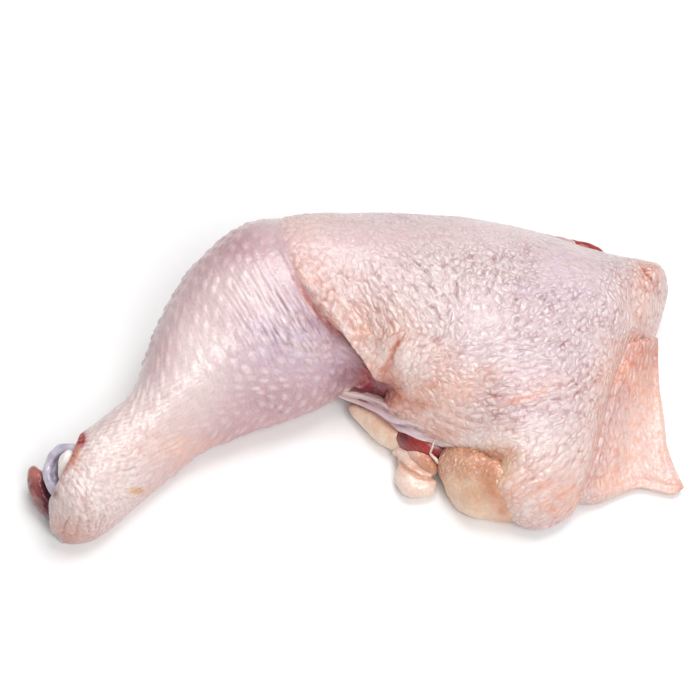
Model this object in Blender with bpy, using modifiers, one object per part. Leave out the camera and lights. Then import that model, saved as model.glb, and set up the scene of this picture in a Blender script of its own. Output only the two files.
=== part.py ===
"""A raw chicken leg, skin on: the drumstick and the thigh in one piece, lying skin side up.

Frame: metres, +Z up, standing on z = 0, +X along the leg from the hock (left) to the hip (right), +Y away
from the side with the knee's hollow. The origin is at the bottom centre of the whole. The shape functions
work in millimetres, in a sketch frame whose zero lies under the knee, and `shape_mesh` moves and scales
their points to that frame.

The leg is one loft: every section runs from a near edge over a top to a far edge, and is pressed flat where
it lies on the table. The drumstick is the first stretch of it. The thigh is the second, with its skin
rolled over the end of the drumstick along the fold.
"""

from collections import namedtuple

import bmesh
import bpy
import numpy as np

MM = 0.001  # the shape functions give millimetres, and the scene holds metres

# Driving dimensions, mm
SKETCH_CENTRE = (1.73, -3.25)  # the middle of the whole leg's outline in the sketch frame
GAP = 0.35  # clear space between pieces that touch
PRESSED_IN = 1.12  # how far past the table a section would reach if it were not pressed flat, as a factor
FOLD_STEP = (0.4, 3.6)  # height of the rolled skin edge at the knee, and what it gains by the knee's hollow
FOLD_ROLL = 13.0  # how far back from the fold the rolled skin stays thick
HEM_RADIUS = 2.3  # the taut skin hem under the thigh
WEB_RADIUS = 5.0  # the web of skin behind the hem, in the knee's hollow
FLAP_THICKNESS = 2.2  # the loose skin at the hip end
BACK_EDGE_RADIUS = 1.5  # the skin's cut edge at the back of the thigh
KNOB_RADIUS = 9.0  # the shin bone's gristle knob at the hock
KNOB_DEPTH = 7.5
DISH_RADIUS = 5.6  # the hollow in the knob's face
DISH_DEPTH = 1.9

# One row for each section of the leg, in mm: the near edge, the far edge and the height of the top
Station = namedtuple("Station", "name near far top")
STATIONS = (
    Station("toe_tip", (-91, -60.3, 6), (-94.8, -57, 7), 11),
    Station("toe", (-86, -60.8, 7), (-96.3, -50, 10), 21),
    Station("heel", (-78.5, -57.5, 8), (-91, -34.5, 14), 28),
    Station("hock", (-69.3, -48.5, 9), (-82.5, -25.5, 14), 30),
    Station("shank", (-59, -37.5, 11), (-72.5, -15, 14), 32.5),
    Station("calf", (-48.5, -28.5, 12), (-67, -0.5, 17.5), 38.5),
    Station("belly", (-36, -22.5, 13), (-60.7, 16.3, 20), 45.5),
    Station("drum", (-22.5, -17.5, 13), (-50, 33, 22), 50.5),
    Station("knee", (-10, -12.5, 13), (-34.8, 45, 22), 52.5),
    Station("fold", (-1, -6.5, 13), (-19, 49, 21), 51),
    Station("elbow", (7.5, -9.5, 13), (-4, 51, 20), 50),
    Station("thigh_1", (17, -19, 14), (12, 53, 20), 48.5),
    Station("thigh_2", (28, -27, 14), (27, 54, 19), 47),
    Station("thigh_3", (40, -34, 13), (42, 54, 18), 45.5),
    Station("thigh_4", (46, -43.5, 10), (55, 52, 17), 44),
    Station("bulge_1", (51.5, -52.5, 6), (64, 50, 16), 42),
    Station("bulge_2", (61, -55, 5), (73, 47.5, 16), 39.5),
    Station("hip_1", (71.5, -48.5, 5), (83, 45, 16), 36),
    Station("hip_2", (80, -28, 6), (92, 43, 15), 32.5),
    Station("hip_3", (86, -8, 7), (100, 42, 14), 28),
    Station("hip_4", (94, 5, 8), (106, 39.5, 14), 24),
    Station("hip_end", (101, 15, 9), (108, 35.5, 12), 16.5),
)
# How round a section is (exponents of a superellipse): at its sides, over its top and under its edges
SIDE_ROUND, TOP_ROUND, UNDER_ROUND = 2.2, 2.0, 2.4

# Where the thigh's skin ends on the drumstick: the angle round the section, from the near edge (0) over the
# top (90) to the far edge (180) and back underneath, and the distance from the "fold" station, mm
FOLD_LINE = ((0, 14), (18, 13), (26, 8), (37, -0.7), (55, -8.3), (74, -12), (93, -12.8), (120, -11),
             (180, -8), (225, -2), (270, 4), (315, 10), (360, 14))

# Routes and rims, mm in the sketch frame
HEM_ROUTE = ((-3, -4.5, 8), (4, -10.5, 9.5), (13, -17.5, 10), (23, -25, 10.5), (32, -30, 11.5),
             (42, -33.5, 12.5), (51, -35.5, 14), (57, -35.5, 17))
WEB_ROUTE = ((-7, -3.5, 8), (0, -4.5, 8.5), (7, -8.5, 9), (14, -13, 9.5), (21, -18, 10))
BACK_EDGE_ROUTE = ((56, 45, 27.5), (66, 46.5, 25), (75, 46, 22), (85, 43.5, 19.5))
FLAP_OUTER = ((99, 13, 12), (101.5, 6, 9), (103, -3, 5.5), (103.8, -13, 3.6), (104, -23, 2.8),
              (105.4, -30, 2.6), (108, -39, 3))
FLAP_INNER = ((90, 8, 14), (84, -7, 12), (79, -21, 10), (75, -34, 8), (64, -44, 4.5))
FLAP_BOTTOM = ((64, -44, 4.5), (72, -45, 2.6), (80.5, -44.5, 2.4), (87, -41.5, 2.5), (93.7, -39, 3),
               (99, -40, 2.5), (105, -41, 2.6), (108, -39, 3))
FLAP_TOP = ((90, 8, 14), (94, 11, 14), (99, 13, 12))

# The open end at the hock: a big ball cuts it slightly hollow
HOCK_CUT_POINT = (-91.3, -43.5, 16)  # the middle of the cut face
HOCK_CUT_DIRECTION = (-0.86, 0.36, 0.36)  # the way that the face looks
HOCK_CUT_BALL = 34.0
KNOB_PLACE = (-88.9, -42.2, 17.6)
KNOB_AXIS = (-0.50, -0.30, 0.81)

# Lumps of meat, fat and sinew: an ellipsoid's middle and half-sizes in mm, its turn about Z and its tilt in
# degrees, how much its sides widen along its length, how uneven it is, and where its waves start
Lump = namedtuple("Lump", "middle radii turn tilt widening uneven phase")
LUMPS = {
    "hock_tendon": Lump((-90.9, -42.0, 21.6), (5.8, 2.6, 2.2), 60, -31, 0.35, 0.10, 0.6),
    "shank_muscle": Lump((-99.7, -44.3, 6.4), (9.6, 3.6, 5.0), 116, -22, 0.15, 0.12, 1.4),
    "fat_lobe": Lump((10.6, -14.9, 5.4), (11.2, 5.6, 5.4), -36, 0, 0.50, 0.06, 1.0),
    "fat_scrap": Lump((20.3, -32.4, 3.0), (9.4, 6.2, 3.4), -66, 0, 0.0, 0.20, 2.2),
    "thigh_muscle": Lump((24.2, -27.4, 5.8), (9.5, 5.6, 5.7), -36, 0, 0.0, 0.08, 0.4),
    "fat_pad": Lump((42.8, -40.0, 6.6), (17.0, 10.5, 8.6), -40, 0, 0.15, 0.08, 3.0),
    "back_muscle": Lump((78.5, 45.2, 19.0), (8.5, 3.4, 4.5), -16, 0, 0.0, 0.06, 2.0),
}

# Which lumps a piece makes room for, besides the leg
MAKES_ROOM_FOR = {
    "hock_cartilage": ("hock_tendon", "shank_muscle"),
    "fat_scrap": ("fat_lobe", "fat_pad"),
    "fat_pad": ("fat_lobe",),
    "thigh_muscle": ("fat_lobe", "fat_scrap", "fat_pad"),
}

# How finely each surface is divided
DRUMSTICK_RINGS, THIGH_RINGS, RING_POINTS = 34, 36, 42
FLAP_DIVISIONS = (14, 18)
ROUTE_POINTS = 20
LUMP_DIVISIONS = (16, 10)
LARGE_LUMP_DIVISIONS = (24, 14)
TURNED_STEPS = 32

PIECE_FINISHES = {
    "hock_cartilage": "gristle", "hock_tendon": "sinew", "shank_muscle": "raw_meat",
    "fat_lobe": "raw_fat", "fat_scrap": "raw_fat", "thigh_muscle": "raw_meat", "fat_pad": "raw_fat",
    "back_muscle": "raw_meat",
}
# Base colours, sRGB hex, with roughness
FINISHES = {
    "raw_skin": ("E3C0BE", 0.42),
    "gristle": ("C9C6D6", 0.30),
    "sinew": ("EBCFC8", 0.35),
    "raw_meat": ("8E3B40", 0.38),
    "raw_fat": ("E3C49C", 0.45),
}


def smooth_curve(knots, values, at):
    """A smooth curve through the values: cubic pieces, with each knot's slope from its two neighbours."""
    knots, values, at = np.asarray(knots, float), np.asarray(values, float), np.asarray(at, float)
    columns = values[:, None] if values.ndim == 1 else values
    step = np.diff(knots)
    rise = np.diff(columns, axis=0) / step[:, None]
    slope = np.empty_like(columns)
    slope[0], slope[-1] = rise[0], rise[-1]
    slope[1:-1] = (rise[:-1] * step[1:, None] + rise[1:] * step[:-1, None]) / (step[1:] + step[:-1])[:, None]
    i = np.clip(np.searchsorted(knots, at, side="right") - 1, 0, len(step) - 1)
    t, h = ((at - knots[i]) / step[i])[..., None], step[i][..., None]
    result = ((1 + 2 * t) * (1 - t) ** 2 * columns[i] + t * (1 - t) ** 2 * h * slope[i]
              + t * t * (3 - 2 * t) * columns[i + 1] + t * t * (t - 1) * h * slope[i + 1])
    return result[..., 0] if values.ndim == 1 else result


def route_points(route, count):
    """Evenly spaced points along a smooth curve through the route's own points."""
    points = np.array(route, float)
    along = np.concatenate([[0], np.cumsum(np.linalg.norm(np.diff(points, axis=0), axis=1))])
    return smooth_curve(along, points, np.linspace(0, along[-1], count))


def station_places():
    """Each station's distance along the leg's middle line."""
    middles = np.array([(np.array(s.near[:2]) + s.far[:2]) / 2 for s in STATIONS])
    steps = np.linalg.norm(np.diff(middles, axis=0), axis=1)
    return np.concatenate([[0], np.cumsum(np.maximum(steps, 5))])


PLACES = station_places()
FOLD_PLACE = PLACES[[s.name for s in STATIONS].index("fold")]


def leg_point(place, angle):
    """The leg's bare form: a superellipse from the near edge over the top to the far edge and underneath.

    place is the distance along the leg, and angle goes round the section as in FOLD_LINE, in radians."""
    place, angle = np.broadcast_arrays(place, angle)
    near = smooth_curve(PLACES, [s.near for s in STATIONS], place)
    far = smooth_curve(PLACES, [s.far for s in STATIONS], place)
    top = smooth_curve(PLACES, [s.top for s in STATIONS], place)
    across, up = np.cos(angle), np.sin(angle)
    share = -np.sign(across) * np.abs(across) ** (2 / SIDE_ROUND)
    point = (near + far) / 2 + (far - near) / 2 * share[..., None]
    edge_height, middle_height = point[..., 2], (near[..., 2] + far[..., 2]) / 2
    above = (top - middle_height) * np.abs(up) ** (2 / TOP_ROUND)
    below = -edge_height * PRESSED_IN * np.abs(up) ** (2 / UNDER_ROUND)
    height = edge_height + np.where(up >= 0, above, below)
    return np.stack([point[..., 0], point[..., 1], height], -1)


def fold_place(angle):
    """Where the thigh's skin edge lies along the leg, at each angle round the section."""
    degrees = np.degrees(np.mod(angle, 2 * np.pi))
    return FOLD_PLACE + smooth_curve(*np.transpose(FOLD_LINE), degrees)


def by_the_hollow(angle):
    """1 on the side of the leg by the knee's hollow, and fading to 0 round the section."""
    degrees = np.degrees(np.mod(angle + np.pi, 2 * np.pi)) - 180
    return np.exp(-((degrees - 25) / 50) ** 2)


def raised_rings(start, end, rings, raised, spread=lambda share: share):
    """Rings of the leg from start(angle) to end(angle), each point moved out of the bare form by raised."""
    share = spread(np.linspace(0, 1, rings))[:, None]
    angle = np.linspace(0, 2 * np.pi, RING_POINTS, endpoint=False)[None, :]
    place = start(angle) + (end(angle) - start(angle)) * share
    point = leg_point(place, angle)
    round_the_ring = np.roll(point, -1, 1) - np.roll(point, 1, 1)
    outward = np.cross(np.gradient(point, axis=0), round_the_ring)
    outward /= np.linalg.norm(outward, axis=-1, keepdims=True)
    point = point + outward * raised(place - fold_place(angle), angle)[..., None]
    point[..., 2] = np.maximum(point[..., 2], 0)
    return point


def drumstick_rings(grown=0.0):
    """The drumstick, which narrows as it runs in under the thigh's skin."""
    def raised(past_fold, angle):
        dent = 0.1 + 0.8 * by_the_hollow(angle)
        return grown - 0.35 * np.maximum(past_fold - 1, 0) - dent * np.exp(-((past_fold + 1) / 3) ** 2)

    return raised_rings(lambda a: 0 * a, lambda a: fold_place(a) + 16, DRUMSTICK_RINGS, raised)


def thigh_rings(grown=0.0):
    """The thigh: its skin rises out of the drumstick at the fold and stays rolled there, most by the hollow."""
    def raised(past_fold, angle):
        step = FOLD_STEP[0] + FOLD_STEP[1] * by_the_hollow(angle)
        out = 1 - np.exp(-(np.maximum(past_fold, 0) / 1.7) ** 2)
        rolled = 0.35 + 0.65 * np.exp(-(past_fold / FOLD_ROLL) ** 2)
        fading = 1 - 0.8 * np.clip((past_fold - 20) / 40, 0, 1)
        return grown - 3.5 * (1 - out) + step * out * rolled * fading

    return raised_rings(fold_place, lambda a: PLACES[-1] + 0 * a, THIGH_RINGS, raised, lambda t: t ** 1.4)


def flap_sheet():
    """The loose skin at the hip end: a Coons patch, blended from its four rims."""
    rows, columns = FLAP_DIVISIONS
    inner, outer = route_points(FLAP_INNER, columns), route_points(FLAP_OUTER, columns)
    top, bottom = route_points(FLAP_TOP, rows), route_points(FLAP_BOTTOM, rows)
    u = np.linspace(0, 1, rows)[None, :, None]
    v = np.linspace(0, 1, columns)[:, None, None]
    sides = (1 - u) * inner[:, None] + u * outer[:, None]
    ends = (1 - v) * top[None] + v * bottom[None]
    corners = ((1 - u) * (1 - v) * inner[0] + u * (1 - v) * outer[0]
               + (1 - u) * v * inner[-1] + u * v * outer[-1])
    return sides + ends - corners


def linear_colour(sheet_hex):
    """An sRGB hex colour as linear RGBA."""
    srgb = np.array([int(sheet_hex[i:i + 2], 16) for i in (0, 2, 4)]) / 255
    linear = np.where(srgb <= 0.04045, srgb / 12.92, ((srgb + 0.055) / 1.055) ** 2.4)
    return (*linear.tolist(), 1.0)


def make_material(name):
    """A plain Principled material from the FINISHES table."""
    sheet_hex, roughness = FINISHES[name]
    material = bpy.data.materials.new(name)
    material.use_nodes = True
    shader = material.node_tree.nodes["Principled BSDF"]
    shader.inputs["Base Color"].default_value = linear_colour(sheet_hex)
    shader.inputs["Roughness"].default_value = roughness
    material.diffuse_color = linear_colour(sheet_hex)
    return material


def make_collection(name):
    collection = bpy.data.collections.new(name)
    bpy.context.scene.collection.children.link(collection)
    return collection


def shape_mesh(name, points, faces):
    """A mesh from sketch millimetres."""
    placed = (np.asarray(points, float).reshape(-1, 3) - (*SKETCH_CENTRE, 0)) * MM
    mesh = bpy.data.meshes.new(name)
    mesh.from_pydata(placed.tolist(), [], faces)
    return mesh


def make_object(name, mesh, collection):
    made = bpy.data.objects.new(name, mesh)
    collection.objects.link(made)
    return made


def make_cutter(made):
    """Marks a helper that isn't a piece of the leg."""
    made.hide_render = True
    made.display_type = "WIRE"
    return made


def closed_loft(name, rings, collection, bulge=1.5):
    """A closed body through the rings, each end closed by a fan to a point that stands out by bulge."""
    count, size = rings.shape[:2]
    ends = []
    for ring, inner in ((rings[0], rings[1]), (rings[-1], rings[-2])):
        middle = ring.mean(0)
        out = middle - inner.mean(0)
        ends.append(middle + out / np.linalg.norm(out) * bulge)
    faces = [(i * size + j, (i + 1) * size + j, (i + 1) * size + (j + 1) % size, i * size + (j + 1) % size)
             for i in range(count - 1) for j in range(size)]
    first, last, start = count * size, count * size + 1, (count - 1) * size
    faces += [(first, j, (j + 1) % size) for j in range(size)]
    faces += [(last, start + (j + 1) % size, start + j) for j in range(size)]
    mesh = shape_mesh(name, np.vstack([rings.reshape(-1, 3), ends]), faces)
    return make_object(name, mesh, collection)


def thick_sheet(name, grid, thickness, collection):
    """An open grid with a wall of the given thickness under it."""
    rows, columns = grid.shape[:2]
    faces = [(i * columns + j, (i + 1) * columns + j, (i + 1) * columns + j + 1, i * columns + j + 1)
             for i in range(rows - 1) for j in range(columns - 1)]
    made = make_object(name, shape_mesh(name, grid, faces), collection)
    wall = made.modifiers.new("wall", "SOLIDIFY")
    wall.thickness = thickness * MM
    wall.offset = -1
    return made


def round_roll(name, route, radius, collection):
    """A round roll of skin along a route, thinner at both ends."""
    points = route_points(route, ROUTE_POINTS)
    curve = bpy.data.curves.new(name, "CURVE")
    curve.dimensions = "3D"
    curve.bevel_depth = radius * MM
    curve.bevel_resolution = 2
    curve.use_fill_caps = True
    line = curve.splines.new("POLY")
    line.points.add(len(points) - 1)
    taper = 0.45 + 0.55 * np.sin(np.linspace(0, np.pi, len(points)))
    for knot, point, share in zip(line.points, points, taper):
        knot.co = (*((point - (*SKETCH_CENTRE, 0)) * MM), 1)
        knot.radius = share
    guide = make_object(name + "_guide", curve, collection)
    mesh = evaluated_mesh(guide, name)
    bpy.data.objects.remove(guide)
    shell = bmesh.new()
    shell.from_mesh(mesh)
    bmesh.ops.remove_doubles(shell, verts=shell.verts, dist=1e-6)
    bmesh.ops.recalc_face_normals(shell, faces=shell.faces)
    shell.to_mesh(mesh)
    shell.free()
    return make_object(name, mesh, collection)


def ball(name, middle, radius, collection, divisions=(48, 32)):
    """A plain ball, for the cut at the hock."""
    shell = bmesh.new()
    bmesh.ops.create_uvsphere(shell, u_segments=divisions[0], v_segments=divisions[1], radius=radius * MM)
    mesh = bpy.data.meshes.new(name)
    shell.to_mesh(mesh)
    shell.free()
    made = make_object(name, mesh, collection)
    made.location = (np.array(middle) - (*SKETCH_CENTRE, 0)) * MM
    return made


def lump(name, collection, grown=0.0):
    """An ellipsoid that widens along its length and swells in a few low waves, pressed flat at z = 0."""
    shape = LUMPS[name]
    shell = bmesh.new()
    divisions = LARGE_LUMP_DIVISIONS if max(shape.radii) > 10 else LUMP_DIVISIONS
    bmesh.ops.create_uvsphere(shell, u_segments=divisions[0], v_segments=divisions[1], radius=1)
    mesh = bpy.data.meshes.new(name)
    shell.to_mesh(mesh)
    shell.free()
    unit = np.array([v.co for v in mesh.vertices])
    round_z, level = np.arctan2(unit[:, 1], unit[:, 0]), np.hypot(unit[:, 0], unit[:, 1])
    swell = 1 + shape.uneven * (np.sin(2 * round_z + shape.phase) * level ** 2
                                + 0.6 * np.sin(3 * round_z + 2 * shape.phase + 1) * level ** 3)
    point = unit * swell[:, None] * (np.array(shape.radii) + grown)
    point[:, 1:] *= 1 + shape.widening * unit[:, :1]
    for axes, turn in (((2, 0), np.radians(shape.tilt)), ((0, 1), np.radians(shape.turn))):
        a, b = point[:, axes[0]].copy(), point[:, axes[1]].copy()
        point[:, axes[0]] = np.cos(turn) * a - np.sin(turn) * b
        point[:, axes[1]] = np.sin(turn) * a + np.cos(turn) * b
    point += shape.middle
    point[:, 2] = np.maximum(point[:, 2], -grown)
    placed = (point - (*SKETCH_CENTRE, 0)) * MM
    mesh.vertices.foreach_set("co", placed.ravel())
    mesh.update()
    return make_object(name, mesh, collection)


def knob_profile():
    """The gristle knob's outline, from the rim of its hollow face round to the middle of its back, mm."""
    dish = [(DISH_RADIUS * np.sin(t), KNOB_DEPTH / 2 - DISH_DEPTH * np.cos(t))
            for t in np.linspace(0, np.pi / 2, 7)]
    rim_middle = (KNOB_RADIUS + DISH_RADIUS) / 2
    rim_round = (KNOB_RADIUS - DISH_RADIUS) / 2
    rim = [(rim_middle - rim_round * np.cos(t), KNOB_DEPTH / 2 + rim_round * np.sin(t))
           for t in np.linspace(0, np.pi, 8)[1:]]
    back = [(KNOB_RADIUS * np.cos(t), -KNOB_DEPTH * np.sin(t)) for t in np.linspace(0, np.pi / 2, 9)[1:]]
    return dish + rim + back


def gristle_knob(name, collection):
    """The knob at the end of the shin bone: a turned body with a hollow face and a round rim."""
    mesh = bpy.data.meshes.new(name)
    profile = [(r * MM, 0, z * MM) for r, z in knob_profile()]
    mesh.from_pydata(profile, [(i, i + 1) for i in range(len(profile) - 1)], [])
    made = make_object(name, mesh, collection)
    turn = made.modifiers.new("turn", "SCREW")
    turn.axis = "Z"
    turn.steps = turn.render_steps = TURNED_STEPS
    turn.use_merge_vertices = True
    turn.merge_threshold = 1e-6
    made.location = (np.array(KNOB_PLACE) - (*SKETCH_CENTRE, 0)) * MM
    made.rotation_euler = direction_turn(KNOB_AXIS)
    return made


def direction_turn(direction):
    """The rotation that turns +Z to a direction: a tilt about Y, then a turn about Z."""
    x, y, z = direction
    return (0, np.arctan2(np.hypot(x, y), z), np.arctan2(y, x))


def add_boolean(made, other, operation, solver="EXACT"):
    """A Boolean with one object, or with every object of a collection."""
    boolean = made.modifiers.new(operation.lower() + "_" + other.name, "BOOLEAN")
    boolean.operation = operation
    boolean.solver = solver
    if isinstance(other, bpy.types.Collection):
        boolean.operand_type = "COLLECTION"
        boolean.collection = other
    else:
        boolean.object = other
    return boolean


def evaluated_mesh(made, name):
    """The object's mesh with its modifiers applied."""
    bpy.context.view_layer.update()
    graph = bpy.context.evaluated_depsgraph_get()
    mesh = bpy.data.meshes.new_from_object(made.evaluated_get(graph))
    mesh.name = name
    return mesh


def hock_ball(name, collection, grown=0.0):
    """The ball that cuts the leg's end: its surface passes through HOCK_CUT_POINT."""
    direction = np.array(HOCK_CUT_DIRECTION) / np.linalg.norm(HOCK_CUT_DIRECTION)
    middle = np.array(HOCK_CUT_POINT) + direction * HOCK_CUT_BALL
    return ball(name, middle, HOCK_CUT_BALL - grown, collection)


def leg_body(name, collection, cutters, grown=0.0):
    """The skin-covered body of the leg as one solid, or a copy grown on all sides, for cutting its neighbours."""
    drumstick = closed_loft(name, drumstick_rings(grown), collection)
    thigh = closed_loft(name + "_thigh", thigh_rings(grown), cutters)
    hem = round_roll(name + "_hem", HEM_ROUTE, HEM_RADIUS + grown, cutters)
    web = round_roll(name + "_web", WEB_ROUTE, WEB_RADIUS + grown, cutters)
    back_edge = round_roll(name + "_back_edge", BACK_EDGE_ROUTE, BACK_EDGE_RADIUS + grown, cutters)
    flap = thick_sheet(name + "_flap", flap_sheet() + (0, 0, grown), FLAP_THICKNESS + 2 * grown, cutters)
    helpers = [thigh, web, hem, back_edge, flap]
    for helper in helpers:
        add_boolean(drumstick, helper, "UNION", "MANIFOLD")
    open_end = hock_ball(name + "_hock_cut", cutters, grown)
    add_boolean(drumstick, open_end, "DIFFERENCE", "MANIFOLD")
    joined = evaluated_mesh(drumstick, name)
    for helper in [*helpers, open_end, drumstick]:
        bpy.data.objects.remove(helper)
    return make_object(name, joined, collection)


def finish_piece(made, material):
    made.data.materials.clear()
    made.data.materials.append(material)
    made.data.shade_smooth()
    return made


def main():
    for old in list(bpy.data.objects):
        bpy.data.objects.remove(old)
    pieces = make_collection("Raw chicken leg")
    cutters = make_collection("Clearance cutters")
    materials = {name: make_material(name) for name in FINISHES}

    leg = leg_body("leg", pieces, cutters)
    finish_piece(leg, materials["raw_skin"])
    clearance = make_cutter(leg_body("leg_clearance", cutters, cutters, GAP))

    made = {"hock_cartilage": gristle_knob("hock_cartilage", pieces)}
    made |= {name: lump(name, pieces) for name in LUMPS}
    for name, piece in made.items():
        add_boolean(piece, clearance, "DIFFERENCE", "MANIFOLD")
        for neighbour in MAKES_ROOM_FOR.get(name, ()):
            room = make_cutter(lump(neighbour, cutters, GAP))
            room.name = f"{name}_room_for_{neighbour}"
            add_boolean(piece, room, "DIFFERENCE", "MANIFOLD")
        finish_piece(piece, materials[PIECE_FINISHES[name]])


main()
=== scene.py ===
"""The looks of a raw chicken leg, lying skin side up, built round its solid model.

Laid out as a Blender add-on and run as a script. Each operator builds one piece, or one group of like pieces,
in place of the solid that stands for it.

The shape functions work in millimetres in the solid model's sketch frame, whose zero lies under the knee, and
`mesh_from_arrays` moves and scales their points to the model's own frame in metres. A surface is a grid of
points, rows along it and columns round it, worked out with numpy as whole arrays.
"""

import itertools
from collections import namedtuple

import bpy
import numpy as np
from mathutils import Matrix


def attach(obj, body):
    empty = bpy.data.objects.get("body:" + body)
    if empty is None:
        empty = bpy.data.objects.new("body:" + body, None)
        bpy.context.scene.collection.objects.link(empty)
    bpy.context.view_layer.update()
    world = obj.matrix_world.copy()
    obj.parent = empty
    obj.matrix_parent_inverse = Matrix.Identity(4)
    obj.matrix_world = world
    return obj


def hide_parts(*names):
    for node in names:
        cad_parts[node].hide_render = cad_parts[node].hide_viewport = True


bl_info = {
    "name": "Raw chicken leg",
    "version": (1, 0, 0),
    "blender": (4, 5, 0),
    "location": "3D View > Sidebar > Chicken leg",
    "description": "Builds the skin, fat, meat and gristle of a raw chicken leg, and a stage for it",
    "category": "Object",
}

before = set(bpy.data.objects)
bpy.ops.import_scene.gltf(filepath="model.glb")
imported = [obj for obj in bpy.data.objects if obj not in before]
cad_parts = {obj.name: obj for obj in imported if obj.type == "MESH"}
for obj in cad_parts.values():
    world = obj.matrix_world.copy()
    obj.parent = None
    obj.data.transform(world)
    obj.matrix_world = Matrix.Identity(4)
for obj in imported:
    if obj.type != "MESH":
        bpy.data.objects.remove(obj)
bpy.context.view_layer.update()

MM = 0.001
SKETCH_CENTRE = (1.73, -3.25)  # the middle of the leg's outline in the sketch frame, mm
FLOOR_DROP = 0.0002  # the floor lies this far below the leg, so that the two don't flicker, m

# ---------------------------------------------------------------------------------------------------------
# The leg's form, as the solid model has it, in mm

PRESSED_IN = 1.12  # how far past the table a section would reach if it were not pressed flat, as a factor
FOLD_STEP = (0.4, 3.6)  # height of the rolled skin edge at the knee, and what it gains by the knee's hollow
FOLD_ROLL = 13.0  # how far back from the fold the rolled skin stays thick

# One row for each section of the leg: the near edge, the far edge and the height of the top
Station = namedtuple("Station", "name near far top")
STATIONS = (
    Station("toe_tip", (-92.3, -60.8, 6), (-97.0, -57.5, 7), 11),
    Station("toe", (-86.5, -61, 7), (-97.0, -50.3, 10), 21),
    Station("heel", (-78.5, -57.5, 8), (-91, -34.5, 14), 28),
    Station("hock", (-69.3, -48.5, 9), (-82.5, -25.5, 14), 30),
    Station("shank", (-59, -37.5, 11), (-72.5, -15, 14), 32.5),
    Station("calf", (-48.5, -28.5, 12), (-67, -0.5, 17.5), 38.5),
    Station("belly", (-36, -22.5, 13), (-60.7, 16.3, 20), 45.5),
    Station("drum", (-22.5, -17.5, 13), (-50, 33, 22), 50.5),
    Station("knee", (-10, -12.5, 13), (-34.8, 45, 22), 52.5),
    Station("fold", (-1, -6.5, 13), (-19, 49, 21), 51),
    Station("elbow", (7.5, -9.5, 13), (-4, 51, 20), 50),
    Station("thigh_1", (17, -19, 14), (12, 53, 20), 48.5),
    Station("thigh_2", (28, -27, 14), (27, 54, 19), 47),
    Station("thigh_3", (40, -34, 13), (42, 54, 18), 45.5),
    Station("thigh_4", (46, -43.5, 10), (55, 52, 17), 44),
    Station("bulge_1", (51.5, -52.5, 6), (64, 50, 16), 42),
    Station("bulge_2", (61, -55, 5), (73, 47.5, 16), 39.5),
    Station("hip_1", (71.5, -48.5, 5), (83, 45, 16), 36),
    Station("hip_2", (80, -28, 6), (92, 43, 15), 32.5),
    Station("hip_3", (86, -8, 7), (100, 42, 14), 28),
    Station("hip_4", (94, 5, 8), (106, 39.5, 14), 24),
    Station("hip_end", (101, 15, 9), (108, 35.5, 12), 16.5),
)
# How round a section is (exponents of a superellipse): at its sides, over its top and under its edges
SIDE_ROUND, TOP_ROUND, UNDER_ROUND = 2.2, 2.0, 2.4

# Where the thigh's skin ends on the drumstick: degrees round the section, and mm from the "fold" station
FOLD_LINE = ((0, 14), (18, 13), (26, 8), (37, -0.7), (55, -8.3), (74, -12), (93, -12.8), (120, -11),
             (180, -8), (225, -2), (270, 4), (315, 10), (360, 14))

# Routes and rims
HEM_LOWER = ((-6.5, -5.5, 7.6), (-2, -8.2, 8.0), (3, -11, 9), (9.5, -17, 10.5), (15.5, -22.5, 12),
             (23, -27.5, 13.3), (30, -31, 14.5), (37, -34.5, 17.8), (43.5, -38, 21.5), (50, -41, 25.5),
             (55, -41.5, 28.5))
HEM_UPPER = ((-6.5, -4.8, 9.0), (-2, -6.0, 10.8), (3, -7.4, 13), (9, -11.5, 15.5), (14, -15.5, 18.5),
             (20, -19, 20.5), (28, -23, 22), (38, -28, 23.5), (46, -32, 26), (52, -36, 28.5), (56, -38, 30))
HEM_OUT = np.array((-0.35, -0.7, 0.6))  # the way out of the leg there: the hem's right part sinks against it
WEB_ROUTE = ((-7, -3.5, 8), (0, -4.5, 8.5), (7, -8.5, 9), (14, -13, 9.5), (21, -18, 10))
TORN_STRANDS = (((26.7, -28.4, 15.4), (26.2, -29.4, 13.6), (25.7, -30.4, 12.3), (25.2, -31.4, 11.0)),
                ((25.0, -30.9, 11.5), (25.9, -31.7, 10.8), (27.0, -32.7, 10.3), (28.2, -34, 8.4)))
STRAND_RADII = (0.38, 0.6)
BACK_EDGE_ROUTE = ((56, 45, 27.5), (66, 46.5, 25), (75, 46, 22), (85, 43.5, 19.5))
FLAP_OUTER = ((99, 13, 12), (101.5, 6, 9), (103, -3, 5.5), (103.8, -13, 3.6), (104, -23, 2.8),
              (105.4, -30, 2.6), (108, -39, 3))
FLAP_INNER = ((85, 7, 14), (78.5, -9, 12), (73, -20, 10), (69, -31, 8), (60, -40, 4.5))
FLAP_BOTTOM = ((60, -40, 4.5), (65, -44, 4.2), (72, -45, 2.6), (80.5, -44.5, 2.4), (87, -41.5, 2.5),
               (93.7, -39, 3), (99, -40, 2.5), (105, -41, 2.6), (108, -39, 3))
FLAP_TOP = ((85, 7, 14), (90, 8.6, 14), (94, 11, 14), (99, 13, 12))

# The open end at the hock: a big ball cuts it slightly hollow
HOCK_CUT_POINT = np.array((-91.3, -43.5, 16))
HOCK_CUT_DIRECTION = np.array((-0.86, 0.36, 0.36))
HOCK_CUT_BALL = 34.0
KNOB_PLACE = np.array((-88.9, -42.2, 17.6))
KNOB_AXIS = np.array((-0.50, -0.30, 0.81))

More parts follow.
